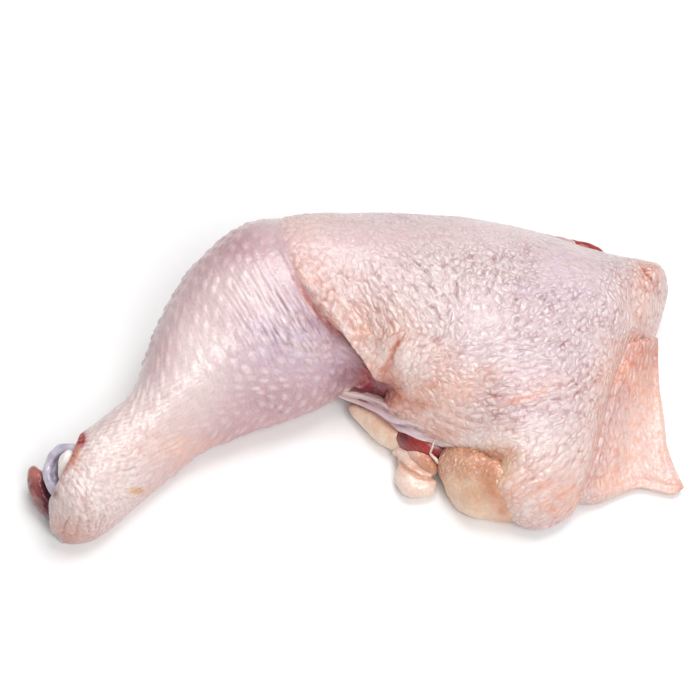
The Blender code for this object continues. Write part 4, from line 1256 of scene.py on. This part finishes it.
def flap_surfaces():
    """The flap's upper and lower faces: the Coons patch with a small grid of follicles and low waves, and a
    wall that thins to nothing at its rim as the end of an ellipse."""
    sheet = flap_sheet(*FLAP_GRID)
    outward = normals_of(sheet, wrapped=False)
    if outward[..., 2].mean() < 0:
        outward = -outward
    columns, rows = sheet.shape[:2]
    v, u = np.meshgrid(np.linspace(0, 1, columns), np.linspace(0, 1, rows), indexing="ij")
    wide, long = FLAP_SIZE
    to_rim = np.minimum.reduce([u * wide, (1 - u) * wide, v * long, (1 - v) * long])
    wall = np.sqrt(np.clip(1 - (1 - np.clip(to_rim / 1.6, 0, 1)) ** 2, 0, 1))
    dots = follicles(np.stack([u * wide, v * FLAP_SKIN_LENGTH], -1), 2.6, 1.1, 161, 1.0)
    low = 0.45 * waves(sheet, 11, 171) + 0.2 * waves(sheet, 5, 172)
    inner = 1 - ramp(8, 18, u * wide)
    creases = 0.5 * pebbles(stretched(sheet, (0.3, 1, 0), 2.5), 3.0, 181, groove=0.35)
    rolled_rim = 0.7 * bell(to_rim, 2.2, 1.6)

    # The flap climbs to the thigh's near edge in a soft fillet
    beside = STATIONS[STATION_NAMES.index("thigh_4"):]
    off_leg, _ = from_line(sheet[..., :2], [s.near[:2] for s in beside])
    outside = np.maximum(off_leg, 0)
    climb = 4.0 * np.exp(-np.maximum(off_leg + 1, 0) / 3.4) + 3.6 * np.exp(-(outside / 8.5) ** 2)
    lift = wall * (0.22 * dots + low + rolled_rim + 0.15 * creases * inner + climb)
    upper = sheet + outward * lift[..., None]
    lower = sheet + outward * (np.minimum(lift, 0) - FLAP_THICKNESS * wall)[..., None]
    upper[..., 2] = np.maximum(upper[..., 2], 0.4 * wall)
    lower[..., 2] = np.clip(lower[..., 2], 0, np.maximum(upper[..., 2] - 0.3 * wall, 0))

    shown, seen = photo_place(upper), seen_share(outward)
    by_thigh = np.maximum(np.exp(-(outside / 6.5) ** 2), spot_share(shown, FLAP_BY_LUMP))
    masks = empty_masks(u.shape)
    masks["way_84"] = np.ones(u.shape)
    masks["network"] = 0.30 + 0.45 * by_thigh
    masks["milk"] = 0.15 + 0.15 * waves(sheet, 12, 191)
    masks["peach"] = (0.72 + 0.2 * waves(sheet, 9, 192)) * (1 - 0.65 * by_thigh)
    masks["blush"] = 0.15 + 0.40 * by_thigh
    add_spots(masks, FLAP_SPOTS, shown, seen)
    for name in SKIN_TINTS:
        masks[name] = np.clip(masks[name], 0, 1)
    masks["relief"] = np.clip(0.46 + 0.12 * dots + 0.05 * creases * inner, 0, 1)
    return upper, lower, masks


def band_grid(lower, upper, thickness, rows, columns):
    """A band stretched between two routes: at each step along them a flat loop, which is a superellipse
    with its long half-axis from the routes' middle to the upper one, and thins to a point at both ends."""
    low, high = route_points(lower, rows), route_points(upper, rows)
    middle, half = (low + high) / 2, (high - low) / 2
    way = np.gradient(middle, axis=0)
    face = np.cross(way, half)
    face /= np.linalg.norm(face, axis=1, keepdims=True)
    turn = np.linspace(0, 2 * np.pi, columns, endpoint=False)[None, :, None]
    share = np.abs(2 * np.linspace(0, 1, rows) - 1)[:, None, None]
    closing = np.sqrt(np.clip(1 - ((share - 0.9) / 0.1).clip(0, 1) ** 2, 0, 1))
    wide = np.sign(np.cos(turn)) * np.abs(np.cos(turn)) ** 0.8
    thick = np.sign(np.sin(turn)) * np.abs(np.sin(turn)) ** 0.8
    return middle[:, None] + closing * (wide * half[:, None] + thickness / 2 * thick * face[:, None])


def hem_surface():
    """The taut skin hem: a band from its free edge up to the thigh, with long folds along it that fan out."""
    rows, columns = HEM_GRID
    grid = band_grid(HEM_LOWER, HEM_UPPER, 2.6, rows, columns)
    outward = -normals_of(grid) if faces_inward(grid) else normals_of(grid)
    share = np.linspace(0, 1, rows)[:, None]
    turn = np.linspace(0, 2 * np.pi, columns, endpoint=False)[None, :]
    up = np.cos(turn)
    folds = np.cos(np.pi * (2.2 * up + 0.6 * np.sin(6 * share) + 1.2 * waves(grid, 11, 201)))
    fine = np.cos(np.pi * (6.0 * up + 3.0 * waves(grid, 7, 203)))
    weak = 1 - 0.6 * ramp(0.35, 0.75, share)
    lift = (0.75 * folds * weak + 0.16 * fine) * np.sin(np.pi * share) ** 0.5 + 0.3 * waves(grid, 6, 204)
    sunk = 0.9 * ramp(0.3, 0.6, share) + 2.4 * ramp(0.55, 0.85, share)
    grid = grid + outward * lift[..., None] - HEM_OUT * sunk[..., None]
    masks = empty_masks(lift.shape)
    masks["lilac"] = np.clip(0.55 * bell(share, 0.34, 0.16) * (0.6 - 0.6 * up), 0, 1)
    masks["blush"] = np.clip(0.85 * bell(share, 0.25, 0.2) * (0.8 - 0.4 * up), 0, 1)
    masks["milk"] = np.clip(0.6 * bell(share, 0.08, 0.12) * ramp(-0.2, 0.4, up)
                            + 0.4 * ramp(0.6, 0.9, share), 0, 1)
    masks["peach"] = np.clip(0.1 + 0.6 * ramp(0.3, 0.8, share) + 0.45 * up * ramp(0.1, 0.4, share), 0, 1)
    # Amber along the free edge: partly the edge's own colour, partly painted shadow under it
    masks["amber"] = 0.6 * ramp(-0.90, -0.98, up) * np.ones_like(share)
    masks["relief"] = np.clip(0.52 + 0.30 * folds * weak + 0.10 * fine, 0, 1)
    masks["network"] = 0.5 * ramp(0.25, 0.6, share) + 0 * turn
    masks["way_156"] = np.ones(lift.shape)
    return grid, masks


def strand_surface(route, radius, seed):
    """A torn strand of tissue: a thin roll along its route, uneven along it."""
    grid = tube_grid(route, tapered(radius, 0.4), 70, 20)
    lift = 0.35 * radius * waves(grid, 1.6, seed)
    return grid + normals_of(grid) * lift[..., None], empty_masks(lift.shape)


def web_surface():
    """The web of skin behind the hem: a thick roll along its route, with painted shade, darkest in the
    hollow's depth.
    """
    grid = tube_grid(WEB_ROUTE, tapered(5.0), 110, 64)
    lift = 0.5 * waves(grid, 5, 211) + 0.25 * waves(grid, 2.2, 212)
    grid = grid + normals_of(grid) * lift[..., None]
    shown = photo_place(grid)
    masks = empty_masks(lift.shape)
    masks["blush"] += 0.8
    # Painted shade: the whole web is darkened, most of all in the hollow's depth
    masks["dark_meat_and_shade"] = np.clip(0.75 + spot_share(shown, WEB_SHADE), 0, 1)
    masks["amber"] = 0.7 * bell(line_distance(shown, WEB_RIM)[0], 0, 0.7)
    masks["lilac"] = 0.6 * ramp(*WEB_LOW_ROWS, shown[..., 1])
    masks["relief"] = np.clip(0.45 + 0.5 * lift, 0, 1)
    return grid, masks


def back_edge_surface():
    """The skin's cut edge at the back of the thigh: a thin roll, red where the cut shows."""
    grid = tube_grid(BACK_EDGE_ROUTE, tapered(1.5), 120, 28)
    lift = 0.25 * waves(grid, 3, 221) + 0.12 * waves(grid, 1.3, 222)
    grid = grid + normals_of(grid) * lift[..., None]
    masks = empty_masks(lift.shape)
    masks["blush"] += 0.5
    share = np.linspace(0, 1, 120)[:, None] + 0 * lift
    masks["blood"] = 0.55 * bell(share, 0.45, 0.2) * (0.7 + 0.4 * waves(grid, 2, 223))
    masks["relief"] += 0.5
    return grid, masks


# ---------------------------------------------------------------------------------------------------------
# The open end at the hock

KNOB_RADIUS, KNOB_DEPTH = 9.0, 7.5
DISH_RADIUS, DISH_DEPTH = 5.6, 1.9


def turned_grid(profile, place, axis, columns):
    """A profile of (radius, height) pairs turned round an axis through a place, with heights along it."""
    axis = axis / np.linalg.norm(axis)
    side = np.cross((0, 0, 1), axis)
    side /= np.linalg.norm(side)
    other = np.cross(axis, side)
    turn = np.linspace(0, 2 * np.pi, columns, endpoint=False)[None, :, None]
    radius, height = profile[:, 0, None, None], profile[:, 1, None, None]
    return place + height * axis + radius * (np.cos(turn) * side + np.sin(turn) * other)


def knob_profile():
    """The gristle knob's outline, from the middle of its hollow face round to the middle of its back."""
    t = np.linspace(0.03, np.pi / 2, 26)
    dish = np.stack([DISH_RADIUS * np.sin(t), KNOB_DEPTH / 2 - DISH_DEPTH * np.cos(t)], -1)
    t = np.linspace(0, np.pi, 26)[1:]
    middle, thick = (KNOB_RADIUS + DISH_RADIUS) / 2, (KNOB_RADIUS - DISH_RADIUS) / 2
    rim = np.stack([middle - thick * np.cos(t), KNOB_DEPTH / 2 + thick * np.sin(t)], -1)
    t = np.linspace(0, np.pi / 2 - 0.03, 34)[1:]
    back = np.stack([KNOB_RADIUS * np.cos(t), -KNOB_DEPTH * np.sin(t)], -1)
    return np.concatenate([dish, rim, back])


def gristle_surface():
    """The gristle knob at the end of the shin bone: a turned body with a hollow face and a round rim."""
    grid = turned_grid(knob_profile(), KNOB_PLACE, KNOB_AXIS, 120)
    lift = 0.35 * waves(grid, 5, 231) + 0.15 * waves(grid, 2, 232)
    grid = grid + normals_of(grid) * lift[..., None]
    masks = empty_masks(lift.shape)
    axis = KNOB_AXIS / np.linalg.norm(KNOB_AXIS)
    way = grid - KNOB_PLACE
    off_axis = np.linalg.norm(way - (way @ axis)[..., None] * axis, axis=-1)
    # Painted shade: dark purple inside the hollow face, and darker over the back half
    masks["dark_meat_and_shade"] = np.clip(0.85 * (1 - ramp(3.5, 6.2, off_axis)) * (way @ axis > 0)
                              + 0.5 * (1 - ramp(-3, 1, way @ axis)), 0, 1)
    masks["milk"] = 0.5 * bell(off_axis, 7.6, 1.2) * (0.7 + 0.5 * waves(grid, 4, 233))
    return grid, masks


def lump_surface(name, rows, columns, relief):
    """A lump with uneven relief laid on it along its normals, pressed flat on the table. Also gives where
    it shows in the photograph."""
    bare = lump_grid(LUMPS[name], rows, columns)
    point = bare + normals_of(bare) * relief(bare)[..., None]
    point[..., 2] = np.maximum(point[..., 2], 0.02)
    masks = empty_masks(point.shape[:-1])
    masks["relief"] += 0.5
    return point, masks, photo_place(point)


def tendon_surface():
    """The sinew in the gristle's hollow, with low ridges along it."""
    grid, masks, _ = lump_surface(
        "hock_tendon", 60, 60, lambda p: 0.3 * waves(stretched(p, (0.5, 0.86, 0), 3), 1.6, 241))
    return grid, masks


def shank_meat_surface():
    """The strip of muscle beside the gristle, with a thin skin of fat on parts of it."""
    grid, masks, shown = lump_surface(
        "shank_muscle", 90, 72, lambda p: 0.5 * waves(p, 4, 251) + 0.25 * waves(p, 1.6, 252))
    masks["peach"] = np.clip(sum(spot_share(shown, spot) for spot in SHANK_PEACH), 0, 1)
    # Painted shade on the strip's inner side, beside the gristle
    masks["dark_meat_and_shade"] = spot_share(shown, SHANK_SHADE)
    return grid, masks


# ---------------------------------------------------------------------------------------------------------
# The fat and the meat under the hem and at the back


def fat_lobe_surface():
    """The smooth lobe of fat, amber along its edge by the drumstick, partly as painted shadow of the hem."""
    grid, masks, shown = lump_surface(
        "fat_lobe", 110, 96, lambda p: 0.45 * waves(p, 6, 261) + 0.1 * waves(p, 2, 262))
    edge, _ = line_distance(shown, LOBE_EDGE)
    # Amber along the edge under the hem: partly painted shadow of the hem
    masks["amber"] = 0.8 * bell(edge, 0, 1.6)
    masks["peach"] = 0.45 * bell(edge, 0, 4)
    masks["milk"] += 0.22
    return grid, masks


def scrap_relief(point):
    """Uneven swellings, with one crease across them."""
    crease, _ = line_distance(photo_place(point), SCRAP_CREASE)
    return (1.1 * waves(point, 8, 272) + 0.7 * waves(point, 4.5, 271) + 0.2 * waves(point, 2, 277)
            - 0.9 * bell(crease, 0, 0.8))


def scrap_surface():
    """The ragged scrap of pink fat."""
    grid, masks, shown = lump_surface("fat_scrap", 130, 120, scrap_relief)
    crease, _ = line_distance(shown, SCRAP_CREASE)
    masks["amber"] = np.clip(0.6 * bell(crease, 0, 1.0) + spot_share(shown, SCRAP_AMBER), 0, 1)
    masks["milk"] = 0.15 + 0.3 * ramp(0.2, 0.6, waves(grid, 3, 278))
    masks["network"] += 0.2
    masks["way_48"] = np.ones(grid.shape[:-1])
    return grid, masks


def scrap_fold_surface():
    """The small fold of the same fat that lies on the scrap."""
    grid, masks, shown = lump_surface(
        "scrap_fold", 90, 80,
        lambda p: 0.5 * folded(p, (0.7, -0.6, 0.4), 8, 9, 275) + 0.4 * waves(p, 4, 276))
    masks["amber"] = spot_share(shown, SCRAP_FOLD_AMBER)
    masks["peach"] = spot_share(shown, SCRAP_FOLD_PEACH)
    masks["network"] += 0.2
    masks["way_156"] = np.ones(grid.shape[:-1])
    return grid, masks


def thigh_meat_surface():
    """The thigh's muscle under the hem, ridged along its fibres, with painted shade where it goes in."""
    grid, masks, shown = lump_surface(
        "thigh_muscle", 80, 80, lambda p: 0.35 * waves(stretched(p, (0.8, -0.6, 0), 3), 2.2, 281))
    # Painted shade where the muscle goes in under the fat and skin
    masks["dark_meat_and_shade"] = np.clip(sum(spot_share(shown, spot) for spot in MEAT_SHADE), 0, 1)
    return grid, masks


PAD_SWELLING, PAD_SWELLING_SIZE = (49, -43, 21), (7, 7, 8)  # its middle and half-sizes, mm


def pad_relief(point):
    """Grains near the top, uneven swellings, and one large swelling at the upper right."""
    from_swelling = np.linalg.norm((point - PAD_SWELLING) / PAD_SWELLING_SIZE, axis=-1)
    return (0.20 * pebbles(point, 2.1, 291, groove=0.5) * ramp(7, 13, point[..., 2])
            + 1.3 * waves(point, 9, 292) + 0.6 * waves(point, 5, 297) + 0.2 * waves(point, 2.8, 293)
            + 3.6 * np.exp(-from_swelling ** 2))


def fat_pad_surface():
    """The pad of fat beside the bulge: grainy and pinker at its top, smooth and yellow below."""
    grid, masks, shown = lump_surface("fat_pad", 160, 150, pad_relief)
    high = 1 - ramp(*PAD_TOP_ROWS, shown[..., 1] + 5 * waves(grid, 6, 294))
    crease, _ = line_distance(shown, PAD_CREASE)
    shadow, _ = line_distance(shown, PAD_SHADOW)
    patchy = np.clip(0.6 + 0.8 * waves(grid, 3, 296), 0, 1)
    masks["milk"] = 0.35 * ramp(0.35, 0.7, waves(grid, 2.2, 295)) * high
    masks["peach"] = np.clip(0.5 * high + 0.35 * bell(crease, 0, 5) + 0.12 * (1 - high), 0, 1)
    masks["amber"] = np.clip(0.6 * bell(crease, 0, 2.6) * patchy + 0.6 * bell(shadow, 0, 1.4)
                             + 0.10 * (1 - high), 0, 1)
    masks["network"] = 0.10 + 0.80 * high
    masks["way_48"] = np.ones(grid.shape[:-1])
    return grid, masks


def hip_meat_surface():
    """The sliver of muscle behind the skin's cut edge."""
    grid, masks, _ = lump_surface("back_muscle", 70, 60, lambda p: 0.3 * waves(p, 2.5, 301))
    return grid, masks


# ---------------------------------------------------------------------------------------------------------
# What a user would change


class LegColours(bpy.types.PropertyGroup):
    """Colours of the skin, meat, fat and gristle, as sRGB hex."""

    skin: bpy.props.StringProperty(name="Skin", description="Bare skin, sRGB hex", default="DFCFCC")
    # Also painted shade at the toe, along the lower edges and by the table
    blush: bpy.props.StringProperty(name="Blush", description="Skin over dark meat", default="CDA6AC")
    lilac: bpy.props.StringProperty(name="Lilac", description="Thin, taut skin", default="D2BDD0")
    peach: bpy.props.StringProperty(name="Peach", description="Skin over fat", default="E8B09A")
    fat: bpy.props.StringProperty(name="Bare fat", description="Fat with hardly any skin", default="DDB48F")
    # Also a painted sheen on the drumstick, and painted light on shaded skin over the hem and by the knee
    milk: bpy.props.StringProperty(name="Milk", description="Thick pale skin", default="F4E5E0")
    # Also painted shadow lines along the fold, under the hem's edge and in the knee's hollow
    amber: bpy.props.StringProperty(name="Amber", description="Skin edges and membrane", default="C9785A")
    # Dark meat, and painted shade in hollows, by the table and on the meat's shaded sides
    dark_meat_and_shade: bpy.props.StringProperty(name="Bruise", description="Dark meat in the hollow", default="7A2F40")
    blood: bpy.props.StringProperty(name="Blood", description="Drops of blood", default="A81E1C")
    ridge: bpy.props.StringProperty(name="Ridge", description="Raised follicles and ridges", default="F4E6E3")
    groove: bpy.props.StringProperty(name="Groove", description="Tint of the grooves", default="B8959A")
    warm_groove: bpy.props.StringProperty(
        name="Warm groove", description="Tint of the grooves over fat", default="D98D6E")
    meat_dark: bpy.props.StringProperty(name="Meat", description="Muscle", default="9C2C29")
    meat_light: bpy.props.StringProperty(name="Fibres", description="Pale fibres", default="C0524C")
    fat_lean: bpy.props.StringProperty(name="Lean fat", description="Tan fat", default="E2BA99")
    fat_rich: bpy.props.StringProperty(name="Rich fat", description="Cream fat", default="EFD7BC")
    gristle: bpy.props.StringProperty(name="Gristle", description="Thick gristle", default="CDC5D6")
    gristle_dark: bpy.props.StringProperty(name="Thin gristle", description="Over bone", default="9C91A5")
    sinew: bpy.props.StringProperty(name="Sinew", description="Tendon", default="FFF4F1")
    table: bpy.props.StringProperty(name="Table", description="The floor", default="F9F9F9")


class LegStage(bpy.types.PropertyGroup):
    """The camera and the lights."""

    lens: bpy.props.FloatProperty(
        name="Lens", description="Focal length on a 36 mm sensor", default=CAMERA_LENS, min=10.0)
    floor_size: bpy.props.FloatProperty(
        name="Floor", description="Side of the floor", default=3.0, min=0.5, unit="LENGTH")
    sky: bpy.props.FloatProperty(
        name="Sky", description="Strength of the even light from all round", default=0.30, min=0.0)
    key: bpy.props.FloatProperty(
        name="Key light", description="Power of the large soft light overhead", default=4.8, min=0.0)
    fill: bpy.props.FloatProperty(
        name="Fill light", description="Power of the soft light in front", default=4.1, min=0.0)


def colours_of(context):
    group = context.scene.chicken_leg_colours
    return {name: getattr(group, name) for name in group.bl_rna.properties.keys()
            if name not in ("rna_type", "name")}


def shared_skin(colours):
    """The one skin material of all the pieces of skin, made the first time that it is asked for."""
    return bpy.data.materials.get("raw_chicken_skin") or raw_skin_material(colours)


def finish_piece(made, material, slot, *nodes):
    """Gives a piece its material, puts it on the one body and in place of its solids."""
    made.data.materials.append(material)
    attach(made, "root")
    if nodes:
        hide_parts(*nodes)


def build_closed(name, surface, material, slot, node):
    """Builds a closed piece from a surface's grid and masks."""
    finish_piece(closed_surface(name, *surface), material, slot, node)


# ---------------------------------------------------------------------------------------------------------
# Operators


class LEG_OT_drumstick_skin(bpy.types.Operator):
    """Build the drumstick's skin, open at the hock"""

    bl_idname = "chicken_leg.drumstick_skin"
    bl_label = "Drumstick skin"

    def execute(self, context):
        skin = shared_skin(colours_of(context))
        build_closed("drumstick_skin", drumstick_surface(), skin, "raw_skin", "leg")
        return {"FINISHED"}


class LEG_OT_thigh_skin(bpy.types.Operator):
    """Build the thigh's skin, from its rolled edge on the drumstick to the hip"""

    bl_idname = "chicken_leg.thigh_skin"
    bl_label = "Thigh skin"

    def execute(self, context):
        skin = shared_skin(colours_of(context))
        build_closed("thigh_skin", thigh_surface(), skin, "raw_skin", "leg")
        return {"FINISHED"}


class LEG_OT_loose_skin(bpy.types.Operator):
    """Build the loose skin: the flap, the hem, the web behind it and the cut edge at the back"""

    bl_idname = "chicken_leg.loose_skin"
    bl_label = "Loose skin"

    def execute(self, context):
        skin = shared_skin(colours_of(context))
        finish_piece(two_sided_sheet("hip_flap", *flap_surfaces()), skin, "raw_skin", "leg")
        build_closed("skin_hem", hem_surface(), skin, "raw_skin", "leg")
        build_closed("skin_web", web_surface(), skin, "raw_skin", "leg")
        build_closed("back_skin_edge", back_edge_surface(), skin, "raw_skin", "leg")
        return {"FINISHED"}


class LEG_OT_hock_end(bpy.types.Operator):
    """Build what the cut at the hock shows: the gristle knob, the tendon and the shank's muscle"""

    bl_idname = "chicken_leg.hock_end"
    bl_label = "Hock end"

    def execute(self, context):
        colours = colours_of(context)
        gristle = gristle_material(colours)
        build_closed("gristle_knob", gristle_surface(), gristle, "gristle", "hock_cartilage")
        sinew = fat_material("moist_tendon", colours["sinew"], "F6E9E4", 0.3, 0.2)
        build_closed("tendon_end", tendon_surface(), sinew, "sinew", "hock_tendon")
        meat = meat_material("shank_meat_cut", "66202B", "98454B", 116)
        build_closed("shank_meat", shank_meat_surface(), meat, "raw_meat", "shank_muscle")
        return {"FINISHED"}


class LEG_OT_knee_fat_and_meat(bpy.types.Operator):
    """Build what shows under the hem: the fat lobe, the ragged scrap, the thigh muscle and the fat pad"""

    bl_idname = "chicken_leg.knee_fat_and_meat"
    bl_label = "Fat and meat under the hem"

    def execute(self, context):
        colours = colours_of(context)
        fat = fat_material("raw_tan_fat", colours["fat_lean"], colours["fat_rich"], 0.34, 0.30)
        pink_fat = fat_material("raw_pink_fat", "E6C3B1", "F3DBCD", 0.38, 0.25)
        meat = meat_material("thigh_meat", colours["meat_dark"], colours["meat_light"], -36)
        tissue = fat_material("torn_white_tissue", "E6C5B8", "F4E2DA", 0.32, 0.2)
        build_closed("fat_lobe_soft", fat_lobe_surface(), fat, "raw_fat", "fat_lobe")
        build_closed("fat_scrap_ragged", scrap_surface(), pink_fat, "raw_fat", "fat_scrap")
        build_closed("scrap_fold", scrap_fold_surface(), pink_fat, "raw_fat", "fat_scrap")
        build_closed("thigh_meat_cut", thigh_meat_surface(), meat, "raw_meat", "thigh_muscle")
        for number, (route, radius) in enumerate(zip(TORN_STRANDS, STRAND_RADII)):
            strand = strand_surface(route, radius, 205 + number)
            build_closed(f"torn_strand_{number + 1}", strand, tissue, "sinew", "thigh_muscle")
        build_closed("fat_pad_soft", fat_pad_surface(), fat, "raw_fat", "fat_pad")
        return {"FINISHED"}


class LEG_OT_hip_meat(bpy.types.Operator):
    """Build the sliver of muscle that shows under the skin's cut edge at the back of the hip"""

    bl_idname = "chicken_leg.hip_meat"
    bl_label = "Hip meat"

    def execute(self, context):
        colours = colours_of(context)
        meat = meat_material("hip_meat", colours["meat_dark"], colours["meat_light"], -16)
        build_closed("hip_meat_cut", hip_meat_surface(), meat, "raw_meat", "back_muscle")
        return {"FINISHED"}


def soft_light(name, place, aim, size, power):
    """A large square lamp at a place, in metres, turned to an aim."""
    lamp = bpy.data.lights.new(name, "AREA")
    lamp.shape = "SQUARE"
    lamp.size = size
    lamp.energy = power
    made = bpy.data.objects.new(name, lamp)
    bpy.context.scene.collection.objects.link(made)
    made.location = place
    way = np.array(aim, float) - place
    tip, turn = np.arctan2(np.hypot(way[0], way[1]), -way[2]), np.arctan2(way[1], way[0])
    made.rotation_euler = (tip, 0, turn - np.pi / 2)


class LEG_OT_stage(bpy.types.Operator):
    """Build the floor, the lights and the camera"""

    bl_idname = "chicken_leg.stage"
    bl_label = "Stage"

    def execute(self, context):
        stage, colours = context.scene.chicken_leg_stage, colours_of(context)
        half = stage.floor_size / 2
        mesh = bpy.data.meshes.new("floor")
        corners = ((-half, -half), (half, -half), (half, half), (-half, half))
        mesh.from_pydata([(*corner, -FLOOR_DROP) for corner in corners], [], [(0, 1, 2, 3)])
        mesh.materials.append(table_material(colours["table"]))
        floor = bpy.data.objects.new("floor", mesh)
        context.scene.collection.objects.link(floor)

        world = bpy.data.worlds.new("even_sky")
        world.use_nodes = True
        background = world.node_tree.nodes["Background"]
        background.inputs["Color"].default_value = (1, 1, 1, 1)
        background.inputs["Strength"].default_value = stage.sky
        context.scene.world = world
        soft_light("key_light", (0.15, 0.22, 0.86), (0, 0, 0), 0.50, stage.key)
        soft_light("fill_light", (0.22, -0.50, 0.74), (0, 0, 0.02), 0.42, stage.fill)

        camera = bpy.data.cameras.new("camera")
        camera.lens = stage.lens
        camera.sensor_width = CAMERA_SENSOR
        made = bpy.data.objects.new("camera", camera)
        context.scene.collection.objects.link(made)
        made.location = (CAMERA_PLACE - (*SKETCH_CENTRE, 0)) * MM
        made.rotation_euler = (np.pi / 2 - CAMERA_TILT, 0, 0)
        context.scene.camera = made
        context.scene.view_settings.view_transform = "Standard"
        return {"FINISHED"}


OPERATORS = (LEG_OT_stage, LEG_OT_drumstick_skin, LEG_OT_thigh_skin, LEG_OT_loose_skin, LEG_OT_hock_end,
             LEG_OT_knee_fat_and_meat, LEG_OT_hip_meat)


class LEG_PT_panel(bpy.types.Panel):
    """Lists the pieces of the chicken leg"""

    bl_idname = "LEG_PT_panel"
    bl_label = "Raw chicken leg"
    bl_space_type = "VIEW_3D"
    bl_region_type = "UI"
    bl_category = "Chicken leg"

    def draw(self, context):
        for group in (context.scene.chicken_leg_colours, context.scene.chicken_leg_stage):
            box = self.layout.box()
            for name in group.bl_rna.properties.keys():
                if name not in ("rna_type", "name"):
                    box.prop(group, name)
        for operator in OPERATORS:
            self.layout.operator(operator.bl_idname)


CLASSES = (LegColours, LegStage, *OPERATORS, LEG_PT_panel)


def register():
    for made in CLASSES:
        bpy.utils.register_class(made)
    bpy.types.Scene.chicken_leg_colours = bpy.props.PointerProperty(type=LegColours)
    bpy.types.Scene.chicken_leg_stage = bpy.props.PointerProperty(type=LegStage)


def unregister():
    del bpy.types.Scene.chicken_leg_stage
    del bpy.types.Scene.chicken_leg_colours
    for made in reversed(CLASSES):
        bpy.utils.unregister_class(made)


def main():
    register()
    for operator in OPERATORS:
        group, name = operator.bl_idname.split(".")
        getattr(getattr(bpy.ops, group), name)()


if __name__ == "__main__":
    main()
